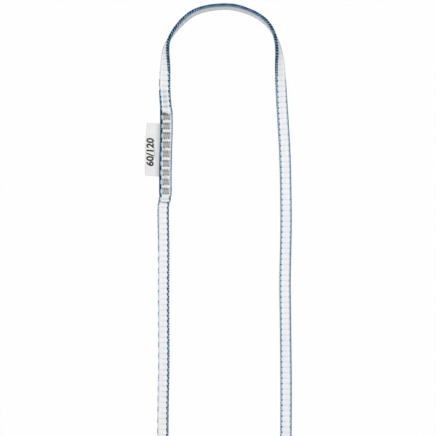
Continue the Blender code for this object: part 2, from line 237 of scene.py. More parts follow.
# From the splice's far end: where the looks of its edges end, and white yarn begins to hide the outer one
STITCH_FADE = (15 * MM, 30 * MM)
SHORT_STITCH_FADE = (-8 * MM, -1 * MM)
INNER_COVER_FADE = (-4 * MM, 2 * MM)
OUTER_COVER_START = (4 * MM, 22 * MM)
SEWN_DARK_FADE = (15 * MM, 40 * MM)

# White yarn over the outer edge: its dashes on the very edge, in either leg and beside the free end
DASH_WAVE = 20 * MM
FRAY_WAVE = 4 * MM
BLUER_BEFORE_END = (-50 * MM, -15 * MM)
UNDER_END_FROM = (-3 * MM, -2 * MM)
UNDER_END_TO = (3.5 * MM, 5 * MM)
FREE_END_COVER = (3 * MM, 4 * MM)

# Where the legs lie along the strip, as shares of it from the free end
RIGHT_LEG_SHARES = (0.17, 0.19, 0.50, 0.52)
LEFT_LEG_SHARES = (0.52, 0.54)

# Bar tacks: the thread's section and its way through the webbing. OPEN_HOLES are the tacks, counted from
# the free end, whose second lower needle hole stands open
TACK_SINK = 0.36 * MM
THREAD_LAY = 1.5 * MM
THREAD_CORE_SHARE = 0.84
THREAD_LOBE_SHARE = 0.20
STITCH_SIDES = 10
UNDERLAY_SIDES = 8
DIVE_DEPTH = 1.0 * MM
DIVE_SHARE = 0.05
DIVE_OUT_SHARE = 0.04
STITCH_INSET_SHARE = 0.07
STITCH_BULGE = 0.12 * MM
STITCH_LEAN = 0.06 * MM
STITCH_SLIP = 0.16 * MM
UNDERLAY_SHARES = (-0.40, -0.13, 0.13, 0.40)
UNDERLAY_HEIGHT_SHARE = 0.72
UNDERLAY_WIDTH_SHARE = 0.97
UNDERLAY_SINK = 0.26 * MM
UNDERLAY_DIVE = 0.6 * MM
UNDERLAY_WAVE = 0.10 * MM
CORNER_INSET = 0.12 * MM
# Reach of the painted shade round a needle hole and round an open one, and the open one's shift.
HOLE_REACH = 0.56 * MM
OPEN_HOLE_REACH = 0.80 * MM
OPEN_HOLE_SHIFT = 0.30 * MM
OPEN_HOLES = (6, 7)

# How dark the thread is, as shares: painted shade at upper and lower holes and in the underlay, then the
# knot
DIVE_DARK = (1.5 * MM, 2.6 * MM)
UPPER_DARK_SHARE = 1.0
LOWER_DARK_SHARE = 0.55
UNDERLAY_DARK_SHARE = 0.50
KNOT_DARK_SHARE = 0.80

# The knot on the last tack, at its outer upper corner, and its tail
KNOT_SIZE = 1.15 * MM
KNOT_INSET = 0.25 * MM
KNOT_UP = 2.05 * MM
KNOT_LIFT = 0.40 * MM
TAIL_START = -1.7 * MM
TAIL_LENGTH = 2.5 * MM
TAIL_UP = 1.75 * MM
TAIL_SWING = 0.55 * MM
TAIL_LIFT = 0.25 * MM

# The label's form: its two leaves, its slightly bowed and skewed fold, and the wave in its cloth
LABEL_LEAF_GAP = 0.3 * MM
LABEL_HELD_GAP = 0.11 * MM
LABEL_BELLY = 0.10 * MM
LABEL_BOW = 0.7 * MM
LABEL_SKEW = 0.5 * MM
LABEL_SHEAR = 0.8 * MM
LABEL_WAVE = 0.16 * MM
LABEL_WAVE_REACH = 4 * MM
LABEL_HINGE_OUT = 0.65 * MM
LABEL_SEWN_IN = 6 * MM
LABEL_COLUMNS = 96
# The next: painted shadow of the webbing on the label, full up to the first distance from its sewn-in edge,
# gone by the second
WEB_SHADOW_REACH = (4.8 * MM, 9.6 * MM)

# The print: how far it stands off the cloth, and how finely the letters are cut to follow the label's wave
PRINT_GAP = 0.02 * MM
PRINT_THICKNESS = 0.03 * MM
PRINT_CUT = 0.4 * MM

# Stage: half the floor's side, how far it lies under the model's lowest plane, and the lamp
FLOOR_REACH = 4.0
FLOOR_UNDER = 0.3 * MM
GLOW_SHARE = 0.97
LAMP_SIZE = 1.4
LAMP_PLACE = (-0.15, 0.58, 1.6)
LAMP_AIM = (0, 0.13, 0)


# What every colour setting has
COLOUR = {"subtype": "COLOR", "min": 0, "max": 1}


class Edge(NamedTuple):
    """One edge of the strip, and the shares by which its stitches grow or darken in different places."""

    name: str
    side: int
    right_leg: float
    left_leg: float
    left_leg_face: float
    past_splice: float
    splice: float
    held: float
    longer: float
    pale: float
    sewn_dark: float


EDGES = (
    Edge(
        name="inner",
        side=1,
        right_leg=-0.10,
        left_leg=0.08,
        left_leg_face=0.09,
        past_splice=0.03,
        splice=-0.26,
        held=0.0,
        longer=0.40,
        pale=0.70,
        sewn_dark=0.20,
    ),
    Edge(
        name="outer",
        side=-1,
        right_leg=0.10,
        left_leg=0.0,
        left_leg_face=0.0,
        past_splice=0.05,
        splice=0.0,
        held=0.10,
        longer=0.30,
        pale=0.15,
        sewn_dark=0.75,
    ),
)


class PrintLine(NamedTuple):
    """Where a line is printed on the label, how high it stands and how much bolder its letters are."""

    text: str
    height: float
    bold: float
    middle: float
    out: float


class SlingWebSettings(bpy.types.PropertyGroup):
    """The webbing's sizes and colours."""

    width: FloatProperty(
        name="Width", description="Across the webbing, edge yarns included", default=0.0080, unit="LENGTH"
    )
    thickness: FloatProperty(
        name="Thickness", description="Of one layer of webbing", default=0.0021, unit="LENGTH"
    )
    layer_gap: FloatProperty(
        name="Layer gap", description="Between the two layers of the splice", default=0.0009, unit="LENGTH"
    )
    end_gap: FloatProperty(name="End gap", description="Under the free end", default=0.0003, unit="LENGTH")
    rung: FloatProperty(
        name="Rung", description="From one rib of the weave to the next", default=0.00376, unit="LENGTH"
    )
    ladder: FloatProperty(
        name="Ladder", description="Across the ribbed middle", default=0.0034, unit="LENGTH"
    )
    edge: FloatProperty(
        name="Edge", description="How far the coloured yarn reaches in", default=0.0015, unit="LENGTH"
    )
    rung_rows: IntProperty(
        name="Rows in a rung", description="How finely the ribs are shaped", default=8, min=4
    )
    bead_rows: IntProperty(
        name="Rows in a bead", description="How finely the edge stitches are shaped", default=8, min=4
    )
    white: FloatVectorProperty(
        name="White yarn",
        description="Colour of the ladder weave",
        default=(0.875, 0.873, 0.877),
        **COLOUR,
    )
    bright: FloatVectorProperty(
        name="Bright yarn",
        description="Colour of the white chains beside the edges",
        default=(0.87, 0.92, 0.965),
        **COLOUR,
    )
    blue: FloatVectorProperty(
        name="Blue yarn",
        description="Colour of the edge stitches",
        default=(0.002, 0.019, 0.060),
        **COLOUR,
    )
    mid_blue: FloatVectorProperty(
        name="Mid blue",
        description="Colour between the stitches on the very edge",
        default=(0.23, 0.48, 0.72),
        **COLOUR,
    )
    pale_blue: FloatVectorProperty(
        name="Pale blue",
        description="Colour between the stitches on the faces, where white yarn crosses them",
        default=(0.56, 0.76, 0.92),
        **COLOUR,
    )

    @property
    def bead(self):
        """From one stitch on the very edge to the next: two to a rung."""
        return self.rung / 2

    @property
    def chain(self):
        """Across one of the white chains, between the ladder and the edge."""
        return self.width / 2 - self.edge - self.ladder / 2

    @property
    def splice_middle(self):
        """Height of the plane between the splice's two layers."""
        return self.thickness + self.layer_gap / 2


class SlingTackSettings(bpy.types.PropertyGroup):
    """The bar tacks' sizes and colour."""

    count: IntProperty(name="Count", description="Number of bar tacks", default=9, min=1)
    pitch: FloatProperty(
        name="Pitch", description="From one tack to the next", default=0.00645, unit="LENGTH"
    )
    from_free_end: FloatProperty(
        name="From the free end", description="Where the first tack is", default=0.0072, unit="LENGTH"
    )
    apart: FloatProperty(
        name="Apart", description="Webbing left between two tacks", default=0.00230, unit="LENGTH"
    )
    width: FloatProperty(name="Width", description="Across the webbing", default=0.0045, unit="LENGTH")
    shift: FloatProperty(
        name="Shift",
        description="How far the tacks sit towards the inside of the loop",
        default=0.00035,
        unit="LENGTH",
    )
    strokes: IntProperty(name="Strokes", description="Zigzag strokes in a tack", default=6, min=2)
    thread: FloatProperty(
        name="Thread", description="Thickness of the thread", default=0.00056, unit="LENGTH"
    )
    colour: FloatVectorProperty(
        name="Thread colour",
        description="Colour of the thread",
        default=(0.495, 0.485, 0.428),
        **COLOUR,
    )

    @property
    def half(self):
        """Half a tack's length along the webbing."""
        return (self.pitch - self.apart) / 2


class SlingLabelSettings(bpy.types.PropertyGroup):
    """The label's sizes, colours and print."""

    length: FloatProperty(name="Length", description="Along the webbing", default=0.0368, unit="LENGTH")
    depth: FloatProperty(
        name="Depth", description="From the hinge line to the fold", default=0.0100, unit="LENGTH"
    )
    from_free_end: FloatProperty(
        name="From the free end", description="Where the label's middle is", default=0.0358, unit="LENGTH"
    )
    cloth: FloatProperty(name="Cloth", description="Thickness of the cloth", default=0.0002, unit="LENGTH")
    colour: FloatVectorProperty(
        name="Cloth colour",
        description="Colour of the cloth",
        default=(0.82, 0.82, 0.82),
        **COLOUR,
    )
    text: StringProperty(
        name="Text", description="Printed on the label: lengths, as plain numbers", default="60/120"
    )
    letters: FloatProperty(
        name="Letters", description="Height of the letters", default=0.0055, unit="LENGTH"
    )
    small_text: StringProperty(
        name="Small text", description="Printed small beside it", default="1 2 3 4 5 6 7 8 9"
    )
    small_letters: FloatProperty(
        name="Small letters", description="Height of the small letters", default=0.00075, unit="LENGTH"
    )
    ink: FloatVectorProperty(
        name="Ink",
        description="Colour of the print",
        default=(0.012, 0.012, 0.012),
        **COLOUR,
    )


class SlingStageSettings(bpy.types.PropertyGroup):
    """Camera, floor and light."""

    eye_height: FloatProperty(
        name="Camera height", description="Above the floor", default=1.5, unit="LENGTH"
    )
    eye_y: FloatProperty(
        name="Camera place", description="Along the sling from its middle", default=0.13086, unit="LENGTH"
    )
    pixel: FloatProperty(
        name="Pixel",
        description="Length on the floor that one pixel of the picture shows",
        default=0.0006957,
        unit="LENGTH",
    )
    world: FloatProperty(
        name="Sky light", description="Strength of the light from all round", default=0.45, min=0
    )
    lamp: FloatProperty(
        name="Lamp", description="Strength of the soft lamp overhead", default=20.5, min=0
    )
    floor: FloatVectorProperty(
        name="Floor",
        description="Colour of the floor",
        default=(0.70, 0.70, 0.70),
        **COLOUR,
    )


# The strip's line


def smooth_values(knots, values, where):
    """The natural cubic curve through the values."""
    steps = np.diff(knots)
    slopes = np.diff(values) / steps
    system = np.eye(len(knots))
    right = np.zeros(len(knots))
    for i in range(1, len(knots) - 1):
        system[i, i - 1 : i + 2] = steps[i - 1], 2 * (steps[i - 1] + steps[i]), steps[i]
        right[i] = 6 * (slopes[i] - slopes[i - 1])
    bends = np.linalg.solve(system, right)
    span = np.clip(np.searchsorted(knots, where, side="right") - 1, 0, len(steps) - 1)
    along = where - knots[span]
    step = steps[span]
    first = slopes[span] - step * (2 * bends[span] + bends[span + 1]) / 6
    third = (bends[span + 1] - bends[span]) / (6 * step)
    return values[span] + along * (first + along * (bends[span] / 2 + along * third))


def eased_values(knots, values, where):
    """A curve through the values that never swings past them."""
    steps = np.diff(knots)
    slopes = np.diff(values) / steps
    lead = np.zeros(len(knots))
    for i in range(1, len(knots) - 1):
        before, after = slopes[i - 1], slopes[i]
        if before * after > 0:
            lead[i] = 2 * before * after / (before + after)
    span = np.clip(np.searchsorted(knots, where, side="right") - 1, 0, len(steps) - 1)
    step = steps[span]
    t = (where - knots[span]) / step
    rise = values[span] * (1 + 2 * t) * (1 - t) ** 2 + values[span + 1] * t**2 * (3 - 2 * t)
    return rise + step * (lead[span] * t * (1 - t) ** 2 - lead[span + 1] * t**2 * (1 - t))


def on_splice(share):
    """A place on the splice's line: 0 is the free end, 1 the hidden end."""
    return tuple(a + share * (b - a) for a, b in zip(FREE_END, HIDDEN_END))


def strip_route(web):
    """(x, y, lean, lift) all along the strip, from its free end to its hidden end."""

    def resting(points, landmark):
        return [(x, y + landmark, lean, 0) for x, y, lean in points]

    def halfway(before, after):
        return (before[0] + after[0]) / 2, (before[1] + after[1]) / 2, 0, 0

    out = resting(FAR_BEND + RIGHT_LEG, FAR_TIP_Y)
    near = resting(NEAR_BEND, -FAR_TIP_Y)
    back = resting(LEFT_LEG, FAR_TIP_Y)
    sewn = [on_splice(share) for share in SEWN_SHARES]
    return [
        (*FREE_END, 0, web.thickness + web.end_gap),
        *[(*place, 0, web.thickness + web.layer_gap) for place in sewn],
        *out,
        halfway(out[-1], near[0]),
        *near,
        halfway(near[-1], back[0]),
        *back,
        *resting(UNDER_FREE_END, FREE_END[1]),
        *[(*place, 0, 0) for place in sewn],
        (*HIDDEN_END, 0, 0),
    ]


class Strip:
    """The strip's line, measured along itself, with the frame that its section stands in."""

    STEP = 0.2 * MM

    def __init__(self, scene):
        self.web = scene.sling_web
        self.tack = scene.sling_tack
        x, y, lean, lift = np.array(strip_route(self.web), float).T
        knots = np.concatenate([[0], np.cumsum(np.hypot(np.diff(x), np.diff(y)))])
        where = np.linspace(0, knots[-1], int(knots[-1] / self.STEP))
        self.lean = np.radians(eased_values(knots, lean, where))
        sin, cos = np.sin(self.lean), np.cos(self.lean)
        half_height = (abs(sin) * self.web.width + abs(cos) * self.web.thickness) / 2
        height = half_height + eased_values(knots, lift, where)
        x, y = smooth_values(knots, x, where), smooth_values(knots, y, where)
        self.points = np.stack([x, y, height], axis=1)
        self.along = lengths_along(self.points)
        self.length = float(self.along[-1])
        forward = np.gradient(self.points, self.along, axis=0)
        self.forward = forward / np.linalg.norm(forward, axis=1)[:, None]
        right = np.cross(self.forward, (0, 0, 1))
        right /= np.linalg.norm(right, axis=1)[:, None]
        up = np.cross(right, self.forward)
        self.inward = right * cos[:, None] + up * sin[:, None]
        self.outward = -right * sin[:, None] + up * cos[:, None]

    def at(self, rows, values):
        return np.stack([np.interp(rows, self.along, column) for column in values.T], axis=-1)

    def tilt(self, rows):
        """How many degrees the strip is tilted from lying flat, at each row."""
        return np.degrees(abs(np.interp(rows, self.along, self.lean)))

    def place(self, rows, across, up):
        """World points of section points: across runs to the inside of the loop, up off the upper face."""
        middle = self.at(rows, self.points)[:, None]
        side = self.at(rows, self.inward)[:, None]
        face = self.at(rows, self.outward)[:, None]
        return middle + across[..., None] * side + up[..., None] * face

    def rows(self, step):
        """Distances along the strip, spaced alike from both its ends, so that the splice's layers match."""
        sewn = SPLICE_LENGTH + PAST_SPLICE
        first = np.arange(0, sewn, step)
        middle = np.arange(sewn, self.length - sewn, step)
        return np.concatenate([first, middle, self.length - first[::-1]])


def lengths_along(points):
    """Distance along a line to each of its points."""
    return np.concatenate([[0], np.cumsum(np.linalg.norm(np.diff(points, axis=0), axis=1))])


def smoothstep(low, high, value):
    """0 below low and 1 above high, with a smooth rise between them."""
    t = np.clip((value - low) / (high - low), 0, 1)
    return t * t * (3 - 2 * t)


def falloff(low, high, value):
    """1 below low and 0 above high."""
    return 1 - smoothstep(low, high, value)


def between(a, b, share):
    return a + (b - a) * share


def rounded(value, power=2.2, root=0.5):
    """A yarn's height across itself: 1 in its middle, at 0, and 0 at its sides, at -1 and 1."""
    return np.clip(1 - abs(value) ** power, 0, 1) ** root


def wander(rows, wavelength, seed):
    """A smooth wandering value from -1 to 1 along the strip."""
    spots = np.arange(0, rows.max() + 3 * wavelength, wavelength)
    values = np.random.RandomState(seed).uniform(-1, 1, len(spots))
    return smooth_values(spots, values, rows)


def before_splice_end(rows, start, end):
    """1 from the free end on and 0 from there on: start and end count from the far end of the splice."""
    return falloff(SPLICE_LENGTH + start, SPLICE_LENGTH + end, rows)


def in_legs(strip, rows):
    """Where the strip lies in the right leg and in the left leg, from 0 to 1."""
    share = rows / strip.length
    right = smoothstep(*RIGHT_LEG_SHARES[:2], share) * falloff(*RIGHT_LEG_SHARES[2:], share)
    return right, smoothstep(*LEFT_LEG_SHARES, share)


# Meshes


def tube(name, rings, layers, along, across):
    """A closed tube through the rings, with a UV map in metres and a number layer for each name.

    The rings are (rows, points, 3). The UV map holds each ring's distance along and each point's across.
    """
    count, sides = rings.shape[:2]
    mesh = bpy.data.meshes.new(name)
    mesh.vertices.add(count * sides)
    mesh.vertices.foreach_set("co", rings.reshape(-1).astype(np.float32))
    i = np.arange(count - 1)[:, None]
    j = np.arange(sides)[None]
    k = (j + 1) % sides
    quads = np.stack([i * sides + j, i * sides + k, (i + 1) * sides + k, (i + 1) * sides + j], axis=-1)
    quads = quads.reshape(-1, 4)
    low = np.arange(sides)[::-1]
    high = (count - 1) * sides + np.arange(sides)
    corners = np.concatenate([quads.reshape(-1), low, high])
    totals = np.concatenate([np.full(len(quads), 4), [sides, sides]])
    mesh.loops.add(len(corners))
    mesh.loops.foreach_set("vertex_index", corners.astype(np.int32))
    mesh.polygons.add(len(totals))
    mesh.polygons.foreach_set("loop_start", np.concatenate([[0], np.cumsum(totals)[:-1]]).astype(np.int32))
    mesh.polygons.foreach_set("use_smooth", np.ones(len(totals), bool))
    u = np.stack([along[i + step + 0 * j] for step in (0, 0, 1, 1)], axis=-1)
    v = np.stack([across[j + step + 0 * i] for step in (0, 1, 1, 0)], axis=-1)
    sides_uv = np.stack([u, v], axis=-1).reshape(-1, 2)
    low_uv = np.stack([np.full(sides, along[0]), across[:-1][::-1]], axis=1)
    high_uv = np.stack([np.full(sides, along[-1]), across[:-1]], axis=1)
    uv = mesh.uv_layers.new(name="yarn")
    uv.data.foreach_set("uv", np.concatenate([sides_uv, low_uv, high_uv]).reshape(-1).astype(np.float32))
    for key, values in layers.items():
        add_layer(mesh, key, np.broadcast_to(values, (count, sides)))
    mesh.update(calc_edges=True)
    mesh.validate()
    return mesh


def add_layer(mesh, name, values):
    """A number for each of the mesh's points, which its material reads by name."""
    layer = mesh.attributes.new(name, "FLOAT", "POINT")
    layer.data.foreach_set("value", values.reshape(-1).astype(np.float32))


def add_piece(name, mesh, material):
    piece = bpy.data.objects.new(name, mesh)
    bpy.context.scene.collection.objects.link(piece)
    mesh.materials.clear()
    mesh.materials.append(material)
    return piece


# Materials


def shade(colour, factor):
    """The colour, that many times as bright."""
    return tuple(min(1.0, factor * part) for part in colour)


class Nodes:
    """A material under construction. A colour or a number given to it is a socket, or plain."""

    def __init__(self, name, sheen=0.0, shine=0.35):
        self.material = bpy.data.materials.new(name)
        self.material.use_nodes = True
        self.tree = self.material.node_tree
        self.shader = self.tree.nodes["Principled BSDF"]
        self.shader.inputs["Sheen Weight"].default_value = sheen
        self.shader.inputs["Specular IOR Level"].default_value = shine

    def add(self, kind, **settings):
        node = self.tree.nodes.new(kind)
        for key, value in settings.items():
            setattr(node, key, value)
        return node

    def link(self, source, target):
        self.tree.links.new(source, target)

    def give(self, node, socket, given):
        if isinstance(given, bpy.types.NodeSocket):
            self.link(given, node.inputs[socket])
        elif isinstance(given, tuple):
            node.inputs[socket].default_value = (*given, 1)
        else:
            node.inputs[socket].default_value = given

    def math(self, operation, a, b):
        node = self.add("ShaderNodeMath", operation=operation)
        self.give(node, 0, a)
        self.give(node, 1, b)
        return node.outputs[0]

    def mix(self, share, a, b, blend="MIX"):
        node = self.add("ShaderNodeMix", data_type="RGBA", blend_type=blend)
        for socket, given in (("Factor", share), (6, a), (7, b)):
            self.give(node, socket, given)
        return node.outputs[2]

    def layer(self, name):
        return self.add("ShaderNodeAttribute", attribute_name=name).outputs["Fac"]

    def ramp(self, share, low, high):
        node = self.add("ShaderNodeMapRange", interpolation_type="SMOOTHSTEP")
        for socket, given in (("Value", share), ("From Min", low), ("From Max", high)):
            self.give(node, socket, given)
        return node.outputs["Result"]

    def yarn_map(self):
        return self.add("ShaderNodeUVMap", uv_map="yarn").outputs[0]

    def yarn_noise(self, along, across, detail=2.0):
        """Noise in the yarn's own directions, that many waves to the metre along and across it."""
        scaled = self.add("ShaderNodeMapping")
        self.link(self.yarn_map(), scaled.inputs["Vector"])
        scaled.inputs["Scale"].default_value = (along, across, 1)
        noise = self.add("ShaderNodeTexNoise", noise_dimensions="2D")
        self.link(scaled.outputs[0], noise.inputs["Vector"])
        noise.inputs["Scale"].default_value = 1
        noise.inputs["Detail"].default_value = detail
        return noise.outputs[0]

    def patched(self, noise, low, high):
        """One colour where the noise is low, the other where it is high."""
        return self.mix(self.ramp(noise, 0.3, 0.7), low, high)

    def streaked(self, colour, noise, low):
        """The colour, multiplied by low where the noise is low."""
        return self.mix(1, colour, self.patched(noise, low, (1, 1, 1)), "MULTIPLY")

    def colour(self, socket):
        self.link(socket, self.shader.inputs["Base Color"])

    def rough(self, noise, low, rise):
        """Roughness from low up, rising with the noise."""
        roughness = self.math("ADD", low, self.math("MULTIPLY", noise, rise))
        self.link(roughness, self.shader.inputs["Roughness"])

    def bump(self, height, strength, distance):
        node = self.add("ShaderNodeBump")
        node.inputs["Strength"].default_value = strength
        node.inputs["Distance"].default_value = distance
        self.link(height, node.inputs["Height"])
        self.link(node.outputs[0], self.shader.inputs["Normal"])


def white_yarn_material(name, colour, crease):
    """Silky white filament bundles; painted shade greys the creases between them and darkens its own layer.
    """
    made = Nodes(name, sheen=0.15)
    crown = made.ramp(made.layer("crown"), 0.0, 0.75)
    filaments = made.yarn_noise(260, 9000)
    patches = made.yarn_noise(90, 300, 1.0)
    # Painted shade: the crease colour fills the creases between the crowns.
    base = made.streaked(made.mix(crown, crease, colour), patches, (0.965, 0.965, 0.97))
    lit = made.mix(made.ramp(filaments, 0.35, 0.65), shade(colour, 0.95), colour)
    # Painted shade layer: dark round needle holes, in bars between spread floats, at the cut end, grey over
    # the splice.
    made.colour(made.mix(made.layer("painted_shade"), made.mix(0.35, base, lit), (0.10, 0.095, 0.08)))
    made.rough(filaments, 0.45, 0.25)
    made.bump(filaments, 0.5, 0.06 * MM)
    return made.material


def blue_yarn_material(web):
    """Dark stitches, with paler yarn between them and white yarn over them, greyed by painted shade where
    it tilts under.
    """
    made = Nodes("blue edge yarn", shine=0.0)
    filaments = made.yarn_noise(400, 7000)
    crown = made.ramp(made.layer("crown"), 0.20, 0.45)
    stitch = made.patched(filaments, tuple(web.blue), shade(web.blue, 1.7))
    beneath = made.mix(made.layer("pale"), tuple(web.mid_blue), tuple(web.pale_blue))
    plain = made.mix(crown, made.streaked(beneath, filaments, (0.82, 0.82, 0.82)), stitch)
    # Painted shade: the white yarn over the outer edge greys where the strip tilts it under.
    white = made.mix(made.layer("rim_shade"), (0.78, 0.80, 0.82), (0.45, 0.455, 0.455))
    frayed = made.math("MULTIPLY", made.math("SUBTRACT", filaments, 0.5), 0.8)
    cover = made.ramp(made.math("ADD", made.layer("cover"), frayed), 0.25, 0.75)
    made.colour(made.mix(cover, plain, made.streaked(white, filaments, (0.92, 0.92, 0.92))))
    made.rough(filaments, 0.5, 0.2)
    made.bump(filaments, 0.6, 0.06 * MM)
    return made.material


def thread_material(tack):
    """Grey plied thread: painted shade between its plies, at its dives and in the underlay; a darker knot
    and tail.
    """
    made = Nodes("grey tack thread", sheen=0.1)
    filaments = made.yarn_noise(900, 9000)
    crown = made.ramp(made.layer("crown"), 0.1, 0.8)
    # Painted shade between the thread's plies.
    plied = made.mix(crown, shade(tack.colour, 0.45), tuple(tack.colour))
    tinted = made.patched(filaments, plied, shade(tack.colour, 1.12))
    # Painted shade where the thread dives and in the underlay; knot and tail darker.
    made.colour(made.mix(made.layer("dive"), tinted, shade(tack.colour, 0.13)))
    made.rough(filaments, 0.5, 0.25)
    made.bump(filaments, 0.6, 0.05 * MM)
    return made.material


def label_material(label):
    """Satin ribbon: fine ribs across, a tone that changes along it, painted shadow where it leaves the
    webbing.
    """
    made = Nodes("label cloth", sheen=0.2)
    wave = made.add("ShaderNodeTexWave", wave_type="BANDS", bands_direction="X")
    made.link(made.yarn_map(), wave.inputs["Vector"])
    wave.inputs["Scale"].default_value = 1100
    wave.inputs["Distortion"].default_value = 0.6
    ribs = wave.outputs[1]
    cloudy = made.yarn_noise(120, 120, 1.0)
    weft = made.yarn_noise(400, 5000)
    base = made.patched(cloudy, shade(label.colour, 0.95), tuple(label.colour))
    woven = made.mix(made.math("MULTIPLY", ribs, 0.25), base, shade(label.colour, 0.85))
    # Painted shadow of the webbing's layers on the label.
    web_shadow = made.mix(made.layer("web_shadow"), (1, 1, 1), (0.72, 0.73, 0.74))
    made.colour(made.mix(1, woven, web_shadow, "MULTIPLY"))
    made.rough(weft, 0.42, 0.2)
    height = made.math("ADD", made.math("MULTIPLY", ribs, 0.6), made.math("MULTIPLY", weft, 0.4))
    made.bump(height, 0.4, 0.05 * MM)
    return made.material


def ink_material(label):
    """Black ink, thinner over the cloth's ribs."""
    made = Nodes("label ink")
    worn = made.yarn_noise(2600, 1500, 3.0)
    made.colour(made.mix(made.ramp(worn, 0.45, 0.95), tuple(label.ink), tuple(c + 0.12 for c in label.ink)))
    made.rough(worn, 0.45, 0.25)
    made.bump(worn, 0.3, 0.03 * MM)
    return made.material


def floor_material(stage):
    """Matt, but seen straight on it glows white, with a little of the sling's shadow left."""
    made = Nodes("floor", shine=0.5)
    made.shader.inputs["Base Color"].default_value = (*stage.floor, 1)
    made.shader.inputs["Roughness"].default_value = 0.9
    rays = made.add("ShaderNodeLightPath").outputs
    seen = made.math("MAXIMUM", rays["Is Glossy Ray"], rays["Is Transmission Ray"])
    seen = made.math("MAXIMUM", rays["Is Camera Ray"], seen)
    mixed = made.add("ShaderNodeMixShader")
    made.link(made.math("MULTIPLY", seen, GLOW_SHARE), mixed.inputs[0])
    made.link(made.shader.outputs[0], mixed.inputs[1])
    made.link(made.add("ShaderNodeEmission").outputs[0], mixed.inputs[2])
    made.link(mixed.outputs[0], made.tree.nodes["Material Output"].inputs["Surface"])
    return made.material


# Sewing


def tack_places(tack):
    """Distance of each tack from the free end."""
    return tack.from_free_end + tack.pitch * np.arange(tack.count)


def sewn_in(tack, across, from_free_end):
    """How far a point of the splice is pressed down by a bar tack, from 0 to 1."""
    low, high = PRESS_SLOPE
    beside = falloff(tack.width / 2 + low, tack.width / 2 + high, abs(across - tack.shift))
    along = [falloff(tack.half + low, tack.half + high, abs(from_free_end - y)) for y in tack_places(tack)]
    return beside * np.max(along, axis=0)


def splice_rows(strip, rows):
    """Each row's distance from the free end in either layer, how far it is held, and if it is above."""
    upper = rows < SPLICE_LENGTH + SPLICE_MARGIN
    lower = rows > strip.length - SPLICE_LENGTH - SPLICE_MARGIN
    y = np.where(upper, rows, np.where(lower, rows - (strip.length - SPLICE_LENGTH), -1))
    held = smoothstep(*HELD_FROM, y) * before_splice_end(y, *HELD_TO)
    return y, np.where(upper | lower, held, 0), upper


def splice_shape(strip, rows, across, up, press):
    """Section points moved as sewing moves them: spread, pressed down by the tacks, puffed between them."""
    tack = strip.tack
    y, held, upper = splice_rows(strip, rows)
    y, held = y[:, None] + 0 * across, held[:, None]
    pressed = sewn_in(tack, across, y) * held * press
    crowned = np.clip(1 - (across / (strip.web.width / 2)) ** 2, 0, 1)
    puffed = (1 - sewn_in(tack, 0 * across, y)) * held * press * crowned
    outer = np.where(upper[:, None], up > 0, up < 0)
    off_face = np.where(outer, PILLOW_RISE * puffed - PRESS_DEPTH * pressed, -INNER_PRESS * held * press)
    kink = np.exp(-(((rows - KINK_PLACE) / KINK_REACH) ** 2))[:, None]
    kink = kink * smoothstep(*CORNER_FROM_MIDDLE, across)
    corner = falloff(*CORNER_FROM_END, rows)[:, None] * smoothstep(*CORNER_FROM_MIDDLE, -across)
    aside = CORNER_DEPTH * corner - KINK_DEPTH * kink - SEWN_ASIDE * held
    return across * (1 + SEWN_WIDER_SHARE * held) + aside, up + np.where(upper, 1, -1)[:, None] * off_face


def strip_piece(strip, name, rows, outline, side, across, up, layers, press=1.0):
    """A mesh along the strip, from section points that run round its outline, turned to face outward."""
    order = slice(None, None, side)
    across, up = splice_shape(strip, rows, across[:, order], up[:, order], press)
    cut = 1 - np.clip(np.minimum(rows, strip.length - rows) / CUT_REACH, 0, 1)
    size = np.sqrt(np.clip(1 - cut**2, CUT_SHARE, 1))[:, None]
    points = strip.place(rows, across * between(CUT_WIDTH_SHARE, 1, size), up * size)
    bulge = (1 - (across / (strip.web.width / 2)) ** 2) * falloff(0, END_BULGE_REACH, rows)[:, None]
    points -= END_BULGE * bulge[..., None] * strip.at(rows, strip.forward)[:, None]
    around = lengths_along(np.stack([np.append(line, line[0]) for line in outline], axis=1))
    layers = {key: values[:, order] for key, values in layers.items()}
    return tube(name, points, layers, rows, around)


def ladder_section(web):
    """Outline of the white middle and its core, the upper face first, and that face's places across."""
    half = web.ladder / 2 + LADDER_TUCK
    face = np.linspace(half, -half, LADDER_BUNDLES * BUNDLE_CELLS + 1)
    top = np.full(len(face), web.thickness / 2 - LADDER_SINK)
    x = np.concatenate([face, -CORE_X, face[::-1], CORE_X])
    z = np.concatenate([top, CORE_Z, -top, CORE_Z[::-1]])
    return x, z, np.clip((half - face) / (2 * half) * LADDER_BUNDLES, 0, LADDER_BUNDLES)


def ladder_floats(strip, rows, number, side, spread):
    """One bundle's floats on one face, from crease to crease: their shape and their height along it."""
    drift = LADDER_DRIFT * wander(rows, LADDER_DRIFT_WAVE, 10 * number + (side > 0))
    shift = 0.0 if side > 0 else 0.5
    phase = ((rows - WEAVE_START + drift) / strip.web.rung + shift) % 1
    floats = rounded(2 * phase - 1, between(*SPREAD_POWERS, spread), 0.7)
    uneven = 1 + FLOAT_WAVE_SHARE * wander(rows, FLOAT_WAVE, 50 + number)
    return floats, floats * uneven * (1 - SPREAD_LOWER_SHARE * spread)


class SLING_OT_camera(bpy.types.Operator):
    """Places the camera straight above the sling, at the photograph's scale"""

    bl_idname = "sling.camera"
    bl_label = "Add camera"

    def execute(self, context):
        stage = context.scene.sling_stage
        data = bpy.data.cameras.new("camera")
        data.lens = data.sensor_width * stage.eye_height / (PICTURE_WIDTH * stage.pixel)
        camera = bpy.data.objects.new("camera", data)
        camera.location = (0, stage.eye_y, stage.eye_height)
        context.scene.collection.objects.link(camera)
        context.scene.camera = camera
        return {"FINISHED"}


